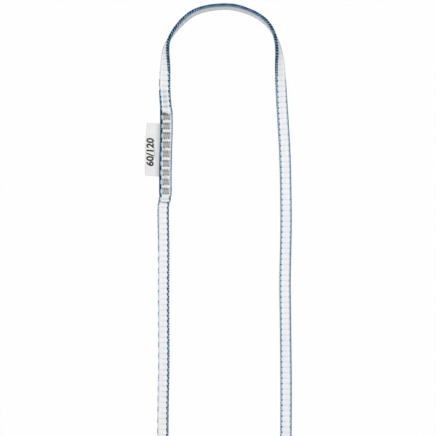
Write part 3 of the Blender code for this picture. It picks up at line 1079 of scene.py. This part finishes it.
class SLING_OT_ladder_weave(bpy.types.Operator):
    bl_idname = "sling.ladder_weave"
    bl_label = "Weave the ladder"

    def execute(self, context):
        strip = Strip(context.scene)
        web = strip.web
        rows = strip.rows(web.rung / web.rung_rows)
        x, z, face_place = ladder_section(web)
        crown = np.zeros((len(rows), len(x)))
        bars = np.zeros((len(rows), len(x)))
        past = rows - SPLICE_LENGTH
        spread = smoothstep(*SPREAD_FROM, past) * falloff(*SPREAD_TO, past)
        for side, start in ((1, 0), (-1, len(x) // 2)):
            for j, place in enumerate(face_place[::side]):
                number = int(min(place, LADDER_BUNDLES - 0.001))
                floats, height = ladder_floats(strip, rows, number, side, spread)
                hump = rounded(2 * (place - number) - 1)
                crown[:, start + j] = (CROWN_SHARES[0] + CROWN_SHARES[1] * hump) * height
                # Painted shade: dark bars in the creases between the spread floats.
                bars[:, start + j] = BAR_SHARE * spread * (1 - floats)
        up = z + LADDER_RISE * crown * np.sign(z)
        across = np.repeat(x[None], len(rows), 0)
        y, held, _ = splice_rows(strip, rows)
        sewn_across, _ = splice_shape(strip, rows, across, up, 1.0)
        # Painted shade, in one layer: round the needle holes, in those bars, along the cut end and slightly
        # over the splice.
        holes = needle_holes(strip.tack, sewn_across, y, held)
        cut = CUT_SHADE_SHARE * falloff(*CUT_SHADE_REACH, rows)
        greyed = GREY_SHARE * before_splice_end(rows, *GREY_FADE)
        dark = np.maximum(np.maximum(holes, bars), np.maximum(cut, greyed)[:, None])
        layers = {"crown": np.clip(crown, 0, 1), "painted_shade": dark}
        mesh = strip_piece(strip, "web_ladder", rows, (x, z), 1, across, up, layers)
        # The crease colour is painted shade: the white yarn at 0.56.
        material = white_yarn_material("white ladder yarn", tuple(web.white), shade(web.white, 0.56))
        body = add_piece("web_ladder", mesh, material)
        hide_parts("web_body")
        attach(body, SLING)
        return {"FINISHED"}


def beads(phase, slant, across, length):
    """Height of one yarn's stitches: rounded floats with creases between them, slanting across the yarn."""
    return rounded((((phase + slant * across) % 1) * 2 - 1) / length, 2.4)


class SLING_OT_chain_yarns(bpy.types.Operator):
    """Lays the white chains of yarn between the ladder and both edges"""

    bl_idname = "sling.chain_yarns"
    bl_label = "Lay the white chains"

    def execute(self, context):
        strip = Strip(context.scene)
        web = strip.web
        rows = strip.rows(web.bead / web.bead_rows)
        rows = rows[(rows > CHAIN_TRIM) & (rows < strip.length - CHAIN_TRIM)]
        # The crease colour is painted shade: the bright yarn at 0.80.
        material = white_yarn_material("white chain yarn", tuple(web.bright), shade(web.bright, 0.80))
        middle = (web.ladder + web.chain) / 2
        v = np.concatenate([CHAIN_SHARES, [-1], -CHAIN_SHARES, [1]])
        face = np.concatenate([np.ones(len(CHAIN_SHARES)), [0], -np.ones(len(CHAIN_SHARES)), [0]])
        x = middle + (web.chain / 2 + CHAIN_TUCK) * v
        z = (web.thickness / 2 - CHAIN_SINK) * face
        for edge in EDGES:
            drift = CHAIN_DRIFT * wander(rows, CHAIN_DRIFT_WAVE, 70 + edge.side)
            crown = np.zeros((len(rows), len(x)))
            for j in np.flatnonzero(face):
                phase = (rows - WEAVE_START + drift) / web.rung + (0.0 if face[j] > 0 else 0.5)
                slant = CHAIN_SLANT * edge.side * face[j]
                height = beads(phase, slant, v[j], CHAIN_FLOAT_SHARE)
                crown[:, j] = rounded(v[j]) * (CHAIN_CROWN_SHARES[0] + CHAIN_CROWN_SHARES[1] * height)
            up = z + CHAIN_RISE * crown * face
            across = np.repeat(edge.side * x[None], len(rows), 0)
            name = f"chain_yarn_{edge.name}"
            mesh = strip_piece(strip, name, rows, (x, z), edge.side, across, up, {"crown": crown})
            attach(add_piece(name, mesh, material), SLING)
        return {"FINISHED"}


def edge_section(web):
    """Outline of an edge from the upper face to the lower, its outward directions and its places."""
    start = web.width / 2 - web.edge
    bend = start + EDGE_FLAT
    angles = np.radians(EDGE_TURN)
    across, thick = web.width / 2 - bend - EDGE_SIDE_SINK, web.thickness / 2 + EDGE_FACE_STAND
    x = np.concatenate([start + EDGE_FLAT * EDGE_FLAT_SHARES, bend + across * np.cos(angles)])
    z = thick * np.concatenate([np.ones(len(EDGE_FLAT_SHARES)), np.sin(angles)])
    out_x = np.concatenate([0 * EDGE_FLAT_SHARES, np.cos(angles)])
    out_z = z / thick
    x = np.concatenate([x, [bend + across], x[::-1]])
    z = np.concatenate([z, [0], -z[::-1]]) + EDGE_LIFT
    out_x = np.concatenate([out_x, [1], out_x[::-1]])
    out_z = np.concatenate([out_z, [0], -out_z[::-1]])
    return x, z, out_x, out_z, np.linspace(0, PLACES, len(x))


def edge_stitches(strip, rows, edge, places):
    """Height of the stitches, 0 to 1, in four columns: on the upper face, round the edge and below."""
    rung, bead = strip.web.rung, strip.web.bead
    drifted = rows - WEAVE_START + STITCH_DRIFT * wander(rows, STITCH_DRIFT_WAVE, 30 + edge.side)
    y, held, _ = splice_rows(strip, rows)
    held = held > 0.3
    upright = smoothstep(*UPRIGHT_TILT, strip.tilt(rows))
    past = before_splice_end(rows, *STITCH_FADE)
    right_leg, left_leg = in_legs(strip, rows)
    on_face = FACE_STITCH_SHARE - RIGHT_LEG_FACE_SHARE * right_leg + edge.left_leg_face * left_leg
    on_edge = EDGE_STITCH_SHARE + TILTED_EDGE_SHARE * upright
    on_edge = on_edge + edge.right_leg * right_leg + edge.left_leg * left_leg
    on_edge = on_edge + edge.past_splice * past + edge.splice * before_splice_end(rows, *SHORT_STITCH_FADE)
    flat = (1 - upright) * (1 - past)
    beside_rung = (0.5 + 0.5 * np.cos(math.tau * drifted / rung)) * flat
    longer = 1 + edge.longer * flat * (1 - right_leg) - 0.95 * beside_rung * (1 - 0.6 * right_leg)
    uneven = 1 + UNEVEN_SHARE * np.cos(math.pi * drifted / rung)
    in_splice = edge.held * held
    pillow = (y - strip.tack.from_free_end) / strip.tack.pitch
    pillows = beads(pillow, 0.0, 0.0, PILLOW_STITCH_SHARE) * (edge.side < 0)
    columns = (
        (0.0, 1.1, rung, 0.5, 0.10, on_face * uneven, 0.70),
        (1.15, 2.3, bead, 0.5, 0.20, (on_edge * uneven + in_splice) * longer, None),
        (2.3, 3.0, bead, 0.0, 0.26, (on_edge - TILTED_LOWER_SHARE * upright) * uneven + in_splice, None),
        (3.0, 4.0, rung, 0.0, 0.10, on_face * uneven, 0.40),
    )
    crown = np.zeros((len(rows), len(places)))
    for start, end, spacing, phase, slant, length, upright_length in columns:
        for j, place in enumerate(places):
            v = (2 * (place - start) / (end - start) - 1) / 1.15
            height = beads(drifted / spacing + phase, slant, v, length)
            if upright_length:
                height = np.where(held, pillows, height)
                close = beads(drifted / bead + 0.5, slant, v, upright_length)
                height = np.where(upright > 0.5, close, height)
            crown[:, j] = np.maximum(crown[:, j], rounded(v) * height)
    return crown


def inner_cover(rows, places):
    """How far white yarn hides the blue of the inner edge, from 0 to 1: a little, where it is sewn."""
    on_face = falloff(0.9, 1.3, places)
    return before_splice_end(rows, *INNER_COVER_FADE)[:, None] * (0.10 + 0.50 * on_face)


def outer_cover(strip, rows, places):
    """How far white yarn hides the blue of the outer edge, from 0 to 1: in long dashes along the legs."""
    right_leg, _ = in_legs(strip, rows)
    phase = math.pi * rows / strip.web.rung + 0.8 * wander(rows, DASH_WAVE, 8)
    dash = smoothstep(-0.75, -0.15, np.cos(phase))
    from_end = rows - (strip.length - SPLICE_LENGTH)
    bluer = 1 - 0.75 * smoothstep(*BLUER_BEFORE_END, from_end)
    dashes = between(0.97 - 0.75 * right_leg, 0.36 - 0.36 * right_leg, dash)
    turned = smoothstep(*COVERED_TILT, strip.tilt(rows))
    on_edge = np.maximum(dashes * bluer + 0.05 * wander(rows, FRAY_WAVE, 9), 0.96 * turned)
    on_face = np.maximum(on_edge, 1.0 - 0.45 * right_leg)
    under_end = smoothstep(*UNDER_END_FROM, from_end) * falloff(*UNDER_END_TO, from_end)
    on_edge = between(on_edge, 0.25, under_end)[:, None]
    on_face = between(on_face, 0.45, under_end)[:, None]
    cover = between(on_edge, on_face, smoothstep(0.8, 1.2, abs(places - PLACES / 2)))
    above = before_splice_end(rows, *OUTER_COVER_START)[:, None]
    free_end = falloff(*FREE_END_COVER, rows)[:, None]
    return np.clip(cover * (1 - above) + free_end, 0, 1)


class SLING_OT_edge_yarns(bpy.types.Operator):
    """Stitches the coloured yarns round both edges: four columns of slanting stitches on each"""

    bl_idname = "sling.edge_yarns"
    bl_label = "Stitch the edges"

    def execute(self, context):
        strip = Strip(context.scene)
        web = strip.web
        rows = strip.rows(web.bead / web.bead_rows)
        material = blue_yarn_material(web)
        x, z, out_x, out_z, places = edge_section(web)
        on_faces = smoothstep(0.10, 0.95, abs(places - PLACES / 2))
        tilt = strip.tilt(rows)[:, None]
        sewn = before_splice_end(rows, *SEWN_DARK_FADE)[:, None]
        lying = falloff(*LYING_TILT, tilt) * (1 - 0.5 * sewn)
        for edge in EDGES:
            crown = edge_stitches(strip, rows, edge, places)
            inner = edge.side > 0
            layers = {
                "crown": crown,
                "cover": inner_cover(rows, places) if inner else outer_cover(strip, rows, places),
                "pale": np.clip(on_faces + edge.pale * lying, 0, 1) * (1 - edge.sewn_dark * sewn),
                # Painted shade on the outer edge's white yarn where the strip tilts.
                "rim_shade": smoothstep(*RIM_SHADE_TILT, tilt) * (not inner),
            }
            across = edge.side * (x + STITCH_RISE * crown * out_x)
            up = z + STITCH_RISE * crown * out_z
            name = f"edge_stitches_{edge.name}"
            mesh = strip_piece(strip, name, rows, (x, z), edge.side, across, up, layers, EDGE_PRESS_SHARE)
            stitches = add_piece(name, mesh, material)
            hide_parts(f"edge_yarn_{edge.name}")
            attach(stitches, SLING)
        return {"FINISHED"}


# Bar tacks


def splice_frame(web, from_free_end):
    """The frame between the splice's layers, so far from the free end, whose Y runs along the splice."""
    start, end = Vector(FREE_END), Vector(HIDDEN_END)
    run = end - start
    place = start + run.normalized() * from_free_end
    turn = math.atan2(run.y, run.x) - math.pi / 2
    return Matrix.Translation((place.x, place.y, web.splice_middle)) @ Matrix.Rotation(turn, 4, "Z")


def tack_holes(tack):
    """Where the needle goes through, from the tack's middle: the zigzag's turns and two lower corners."""
    strokes = range(tack.strokes + 1)
    turns = [(tack.shift + tack.width * (i / tack.strokes - 0.5), tack.half * (-1) ** i) for i in strokes]
    corner = tack.width / 2 - CORNER_INSET
    return turns, [(tack.shift - corner, -tack.half), (tack.shift + corner, -tack.half)]


def needle_holes(tack, across, from_free_end, held):
    """Painted shade round the needle holes: how dark a point of the webbing is from them, 0 to 1."""
    dark = np.zeros_like(across)
    turns, corners = tack_holes(tack)
    near = held > 0.2
    for number, middle in enumerate(tack_places(tack), start=1):
        for x, y in turns + corners:
            wide = number in OPEN_HOLES and (x, y) == turns[1]
            depth = 1.0 if wide else 0.95 if y > 0 else 0.60
            reach = OPEN_HOLE_REACH if wide else HOLE_REACH
            beyond = from_free_end[near] - middle - y + OPEN_HOLE_SHIFT * wide
            gone = np.hypot(across[near] - x, beyond[:, None])
            dark[near] = np.maximum(dark[near], depth * falloff(0.35 * reach, reach, gone))
    return dark


def thread_rings(path, radius, sides):
    """A plied thread along the path: rings whose three lobes turn about it, their crowns and distances."""
    forward = np.gradient(path, axis=0)
    forward /= np.linalg.norm(forward, axis=1)[:, None]
    side = np.cross(forward, (0.0, 0.0, 1.0))
    steep = np.linalg.norm(side, axis=1) < 0.05
    side[steep] = side[~steep][0]
    side -= forward * np.sum(side * forward, axis=1)[:, None]
    side /= np.linalg.norm(side, axis=1)[:, None]
    up = np.cross(side, forward)
    along = lengths_along(path)
    angles = np.linspace(0, math.tau, sides, endpoint=False)[None]
    lobe = abs(np.cos(1.5 * (angles - math.tau * along[:, None] / THREAD_LAY)))
    size = radius * (THREAD_CORE_SHARE + THREAD_LOBE_SHARE * lobe)
    out = np.cos(angles)[..., None] * side[:, None] + np.sin(angles)[..., None] * up[:, None]
    return path[:, None] + size[..., None] * out, lobe, along


def sewn_thread(path, tack, sides, dark):
    """A plied thread along the path; dark gives how dark it is at each distance along it, from 0 to 1."""
    rings, lobe, along = thread_rings(path, tack.thread / 2, sides)
    layers = {"crown": lobe, "dive": dark(along)[:, None]}
    return tube("thread", rings, layers, along, np.linspace(0, math.pi * tack.thread, sides + 1))


def evenly(share):
    """The same darkness all along a thread."""
    return lambda along: np.full(len(along), share)


def towards_its_end(along):
    """Darker the further along a thread."""
    return 0.35 + 0.5 * along / along[-1]


def buried(a, b):
    """Painted shade on a stitch that dives into holes a and b: darker towards them, more so at the upper
    holes.
    """
    first, last = (UPPER_DARK_SHARE if y > 0 else LOWER_DARK_SHARE for _, y in (a, b))
    return lambda along: np.maximum(
        first * falloff(*DIVE_DARK, along), last * falloff(*DIVE_DARK, along[-1] - along)
    )


def stroke_path(a, b, top, face, lean, slip, bulge):
    """A stitch from hole to hole: up out of one, over the webbing and down into the other."""
    dive = DIVE_SHARE * np.linspace(0, 1, 8)
    over = np.linspace(DIVE_SHARE, 1 - DIVE_SHARE, 30)[1:-1]
    t = np.concatenate([dive, over, 1 - dive[::-1]])
    edge = np.clip(np.minimum(t, 1 - t) / DIVE_SHARE, 0, 1) * math.pi / 2
    arch = np.sin(math.pi * t)
    beyond = np.where(t < 0.5, -1, 1) * (1 - np.cos(math.pi / 2 - edge)) * DIVE_OUT_SHARE
    run = np.clip((t - DIVE_SHARE) / (1 - 2 * DIVE_SHARE), 0, 1) + beyond
    x = between(a[0], b[0], between(STITCH_INSET_SHARE, 1 - STITCH_INSET_SHARE, run)) + lean * arch
    y = between(a[1], b[1], run) + slip
    z = face * (top - DIVE_DEPTH * (1 - np.sin(edge)) + bulge * arch)
    return np.stack([x, y, z], axis=1)


def underlay_path(tack, share, number, top, face):
    """A thread across the tack, under its zigzag."""
    t = np.linspace(0, 1, 40)
    sunk = falloff(0, 0.125, np.minimum(t, 1 - t))
    x = tack.shift + tack.width / 2 * (2 * t - 1) * UNDERLAY_WIDTH_SHARE
    y = share * 2 * tack.half * UNDERLAY_HEIGHT_SHARE + UNDERLAY_WAVE * np.sin(9 * t + number)
    z = face * (top - UNDERLAY_SINK - UNDERLAY_DIVE * sunk)
    return np.stack([x, y, z], axis=1)


def knot_path(tack, top):
    """A small overhand knot on the tack's outer upper corner."""
    t = np.linspace(0, math.tau * 0.97, 70)
    x = tack.shift - tack.width / 2 + KNOT_INSET + KNOT_SIZE * (np.sin(t) + 2 * np.sin(2 * t)) / 3
    y = KNOT_UP + KNOT_SIZE * (np.cos(t) - 2 * np.cos(2 * t)) / 3
    z = top + KNOT_LIFT - KNOT_SIZE * 0.35 * np.sin(3 * t)
    return np.stack([x, y, z], axis=1)


def tail_path(top):
    """The knot's tail, curling over the tack."""
    t = np.linspace(0, 1, 40)
    curl = np.sin(3 * t)
    z = top + TAIL_LIFT * (1 + curl)
    return np.stack([TAIL_START + TAIL_LENGTH * t, TAIL_UP + TAIL_SWING * curl, z], axis=1)


def joined(name, meshes):
    """One mesh from several, with their UV maps and layers."""
    made = [bpy.data.objects.new(name, mesh) for mesh in meshes]
    for piece in made:
        bpy.context.scene.collection.objects.link(piece)
    chosen = {"selected_editable_objects": made, "selected_objects": made}
    with bpy.context.temp_override(active_object=made[0], object=made[0], **chosen):
        bpy.ops.object.join()
    mesh = made[0].data
    bpy.data.objects.remove(made[0])
    mesh.name = name
    return mesh


class SLING_OT_bar_tacks(bpy.types.Operator):
    """Sews the bar tacks: plied thread in zigzags over crossing stitches, on both faces of the splice"""

    bl_idname = "sling.bar_tacks"
    bl_label = "Sew the bar tacks"

    def execute(self, context):
        web, tack = context.scene.sling_web, context.scene.sling_tack
        material = thread_material(tack)
        top = web.splice_middle - TACK_SINK
        turns, corners = tack_holes(tack)
        pairs = [*zip(turns, turns[1:]), (turns[0], corners[0]), (turns[-1], corners[1])]
        for number, from_free_end in enumerate(tack_places(tack), start=1):
            random = np.random.RandomState(200 + number)
            threads = []
            for face in (1, -1):
                for i, (a, b) in enumerate(pairs):
                    lean = random.uniform(-STITCH_LEAN, STITCH_LEAN)
                    slip = random.uniform(-STITCH_SLIP, STITCH_SLIP)
                    path = stroke_path(a, b, top, face, lean, slip, STITCH_BULGE * (1 + 0.3 * (i % 2)))
                    threads.append(sewn_thread(path, tack, STITCH_SIDES, buried(a, b)))
                for share in UNDERLAY_SHARES:
                    path = underlay_path(tack, share, number, top, face)
                    # Painted shade: the underlay lies under the zigzag.
                    threads.append(sewn_thread(path, tack, UNDERLAY_SIDES, evenly(UNDERLAY_DARK_SHARE)))
            if number == tack.count:
                knot, tail = knot_path(tack, top), tail_path(top)
                threads.append(sewn_thread(knot, tack, STITCH_SIDES, evenly(KNOT_DARK_SHARE)))
                threads.append(sewn_thread(tail, tack, STITCH_SIDES, towards_its_end))
            mesh = joined(f"tack_stitches_{number}", threads)
            mesh.transform(splice_frame(web, from_free_end))
            stitches = add_piece(f"tack_stitches_{number}", mesh, material)
            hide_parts(f"bar_tack_{number}")
            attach(stitches, SLING)
        return {"FINISHED"}


# Label


class LabelShape:
    """The folded label's cloth, in the splice's own directions."""

    def __init__(self, scene):
        web, label = scene.sling_web, scene.sling_label
        deepest = label.depth + LABEL_SKEW**2 / (4 * LABEL_BOW)
        self.label = label
        self.lean = math.asin((web.splice_middle - label.cloth - LABEL_LEAF_GAP / 2) / deepest)
        self.hinge = web.width / 2 + LABEL_HINGE_OUT
        self.radius = (label.cloth + LABEL_LEAF_GAP) / 2
        self.place = splice_frame(web, label.from_free_end)

    def depth(self, share):
        """From the hinge line to the fold; share runs from -1 to 1 along the label."""
        return self.label.depth - LABEL_BOW * share**2 - LABEL_SKEW * share

    def gap(self, share, reach):
        """How far each leaf is from the middle plane."""
        out = np.clip(reach / self.depth(share), 0, 1)
        belly = LABEL_BELLY * np.sin(math.pi * out)
        return between(LABEL_HELD_GAP, self.radius, smoothstep(0, 1, out)) + belly

    def point(self, share, reach, offset):
        """A point so far out from the hinge line, and so far off the middle plane."""
        sin, cos = math.sin(self.lean), math.cos(self.lean)
        bent = max(0.0, reach)
        still = 1 - bent / self.depth(share)
        wave = LABEL_WAVE * math.sin(2.6 * share + 0.6) * min(1.0, bent / LABEL_WAVE_REACH) * still
        x = -self.hinge - (bent * cos + offset * sin if reach > 0 else reach)
        y = share * self.label.length / 2 + LABEL_SHEAR * bent / self.label.depth
        return x, y, offset + wave - bent * sin

    def section(self, share):
        """Across the label: along the lower leaf, round the fold and back along the upper leaf."""
        straight = self.depth(share) - self.radius
        reaches = [*np.linspace(-LABEL_SEWN_IN, -LABEL_SEWN_IN / 10, 8), *np.linspace(0.0, straight, 22)]
        row = [self.point(share, reach, -self.gap(share, reach)) for reach in reaches]
        for angle in np.radians(np.linspace(-90, 90, 13)):
            across, up = self.radius * math.cos(angle), self.radius * math.sin(angle)
            row.append(self.point(share, straight + across, up))
        return row + [self.point(share, reach, self.gap(share, reach)) for reach in reversed(reaches)]


class SLING_OT_label(bpy.types.Operator):
    """Folds the label's cloth: held between the layers of the splice, out to its fold and back"""

    bl_idname = "sling.label"
    bl_label = "Fold the label"

    def execute(self, context):
        web, label = context.scene.sling_web, context.scene.sling_label
        shape = LabelShape(context.scene)
        points = np.array([shape.section(share) for share in np.linspace(-1, 1, LABEL_COLUMNS)], float)
        world = np.array(shape.place, float)
        points = points @ world[:3, :3].T + world[:3, 3]
        count, n = points.shape[:2]
        i, j = np.meshgrid(np.arange(count - 1), np.arange(n - 1), indexing="ij")
        quads = np.stack([i * n + j, i * n + j + 1, (i + 1) * n + j + 1, (i + 1) * n + j], axis=-1)
        mesh = bpy.data.meshes.new("folded_label")
        mesh.from_pydata(points.reshape(-1, 3).tolist(), [], quads.reshape(-1, 4).tolist())
        span = lengths_along(points[count // 2])
        index = np.zeros(len(mesh.loops), np.int32)
        mesh.loops.foreach_get("vertex_index", index)
        flat = np.stack([(index // n) * label.length / (count - 1), span[index % n]], axis=1)
        uv = mesh.uv_layers.new(name="yarn")
        uv.data.foreach_set("uv", flat.reshape(-1).astype(np.float32))
        mesh.polygons.foreach_set("use_smooth", np.ones(len(mesh.polygons), bool))
        # Painted shadow: darker near where the label comes out from between the webbing's layers.
        add_layer(mesh, "web_shadow", falloff(*WEB_SHADOW_REACH, np.linalg.norm(points - points[:, :1], axis=2)))
        cloth = add_piece("folded_label", mesh, label_material(label))
        thick = cloth.modifiers.new("cloth", "SOLIDIFY")
        thick.thickness = label.cloth * 0.9
        thick.offset = 0
        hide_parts("label_tab", "label_anchor")
        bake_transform(cloth)
        return {"FINISHED"}


def printed(line):
    """The line's letters as a mesh in bmesh, from their own lower left corner, one unit thick."""
    curve = bpy.data.curves.new("print", "FONT")
    curve.body = line.text
    curve.extrude = 0.5
    curve.offset = line.bold
    curve.resolution_u = 6
    source = bpy.data.objects.new("print", curve)
    bpy.context.scene.collection.objects.link(source)
    bpy.context.view_layer.update()
    letters = bmesh.new()
    letters.from_mesh(source.to_mesh())
    source.to_mesh_clear()
    bpy.data.objects.remove(source)
    bpy.data.curves.remove(curve)
    bmesh.ops.remove_doubles(letters, verts=letters.verts, dist=0.0005)
    corner = [min(vert.co[axis] for vert in letters.verts) for axis in (0, 1)]
    size = line.height / (max(vert.co.y for vert in letters.verts) - corner[1])
    for vert in letters.verts:
        vert.co = ((vert.co.x - corner[0]) * size, (vert.co.y - corner[1]) * size, vert.co.z)
    for axis, reach in ((0, max(vert.co.x for vert in letters.verts)), (1, line.height)):
        normal = Vector((axis == 0, axis == 1, 0))
        for where in np.arange(PRINT_CUT, reach, PRINT_CUT):
            whole = letters.verts[:] + letters.edges[:] + letters.faces[:]
            bmesh.ops.bisect_plane(letters, geom=whole, dist=1e-7, plane_co=normal * where, plane_no=normal)
    return letters


class SLING_OT_label_print(bpy.types.Operator):
    """Prints plain numbers on the label's upper leaf"""

    bl_idname = "sling.label_print"
    bl_label = "Print the label"

    def execute(self, context):
        label = context.scene.sling_label
        shape = LabelShape(context.scene)
        lines = (
            PrintLine(label.text, label.letters, bold=0.034, middle=-1.9 * MM, out=3.7 * MM),
            PrintLine(label.small_text, label.small_letters, bold=0.010, middle=-1.9 * MM, out=2.75 * MM),
        )
        whole = bmesh.new()
        for line in lines:
            letters = printed(line)
            width = max(vert.co.x for vert in letters.verts)
            for vert in letters.verts:
                share = (vert.co.x - width / 2 + line.middle) / (label.length / 2)
                reach = line.out + vert.co.y
                over = shape.gap(share, reach) + label.cloth / 2 + PRINT_GAP + PRINT_THICKNESS * vert.co.z
                vert.co = shape.place @ Vector(shape.point(share, reach, over))
            part = bpy.data.meshes.new("line")
            letters.to_mesh(part)
            letters.free()
            whole.from_mesh(part)
            bpy.data.meshes.remove(part)
        mesh = bpy.data.meshes.new("label_print")
        whole.to_mesh(mesh)
        whole.free()
        uv = mesh.uv_layers.new(name="yarn")
        for loop in mesh.loops:
            x, y, _ = mesh.vertices[loop.vertex_index].co
            uv.data[loop.index].uv = (y, x)
        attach(add_piece("label_print", mesh, ink_material(label)), TAB)
        return {"FINISHED"}


# Stage


class SLING_OT_stage(bpy.types.Operator):
    """Adds the pale floor, the sky light and a soft lamp overhead"""

    bl_idname = "sling.stage"
    bl_label = "Add the stage"

    def execute(self, context):
        scene = context.scene
        stage = scene.sling_stage
        mesh = bpy.data.meshes.new("floor")
        signs = ((-1, -1), (1, -1), (1, 1), (-1, 1))
        corners = [(x * FLOOR_REACH, y * FLOOR_REACH, -FLOOR_UNDER) for x, y in signs]
        mesh.from_pydata(corners, [], [(0, 1, 2, 3)])
        mesh.materials.append(floor_material(stage))
        floor = bpy.data.objects.new("floor", mesh)
        scene.collection.objects.link(floor)
        world = bpy.data.worlds.new("sky")
        world.use_nodes = True
        sky = world.node_tree.nodes["Background"]
        sky.inputs["Color"].default_value = (1, 1, 1, 1)
        sky.inputs["Strength"].default_value = stage.world
        scene.world = world
        light = bpy.data.lights.new("soft lamp", "AREA")
        light.energy = stage.lamp
        light.size = LAMP_SIZE
        lamp = bpy.data.objects.new("soft lamp", light)
        lamp.location = LAMP_PLACE
        lamp.rotation_euler = (Vector(LAMP_AIM) - Vector(LAMP_PLACE)).to_track_quat("-Z", "Y").to_euler()
        scene.collection.objects.link(lamp)
        scene.view_settings.view_transform = "Standard"
        return {"FINISHED"}


class SLING_PT_panel(bpy.types.Panel):
    """Lists the sling's pieces, in the order in which they are made"""

    bl_idname = "SLING_PT_panel"
    bl_label = "Sling"
    bl_space_type = "VIEW_3D"
    bl_region_type = "UI"
    bl_category = "Sling"

    def draw(self, context):
        for operator in OPERATORS:
            self.layout.operator(operator.bl_idname)


SETTINGS = {
    "sling_web": SlingWebSettings,
    "sling_tack": SlingTackSettings,
    "sling_label": SlingLabelSettings,
    "sling_stage": SlingStageSettings,
}
OPERATORS = (
    SLING_OT_camera,
    SLING_OT_ladder_weave,
    SLING_OT_chain_yarns,
    SLING_OT_edge_yarns,
    SLING_OT_bar_tacks,
    SLING_OT_label,
    SLING_OT_label_print,
    SLING_OT_stage,
)


def register():
    for group in (*SETTINGS.values(), *OPERATORS, SLING_PT_panel):
        bpy.utils.register_class(group)
    for name, group in SETTINGS.items():
        setattr(bpy.types.Scene, name, PointerProperty(type=group))


def unregister():
    for name in SETTINGS:
        delattr(bpy.types.Scene, name)
    for group in reversed((*SETTINGS.values(), *OPERATORS, SLING_PT_panel)):
        bpy.utils.unregister_class(group)


def main():
    register()
    bpy.ops.sling.camera()
    bpy.ops.sling.ladder_weave()
    bpy.ops.sling.chain_yarns()
    bpy.ops.sling.edge_yarns()
    bpy.ops.sling.bar_tacks()
    bpy.ops.sling.label()
    bpy.ops.sling.label_print()
    bpy.ops.sling.stage()


if __name__ == "__main__":
    main()
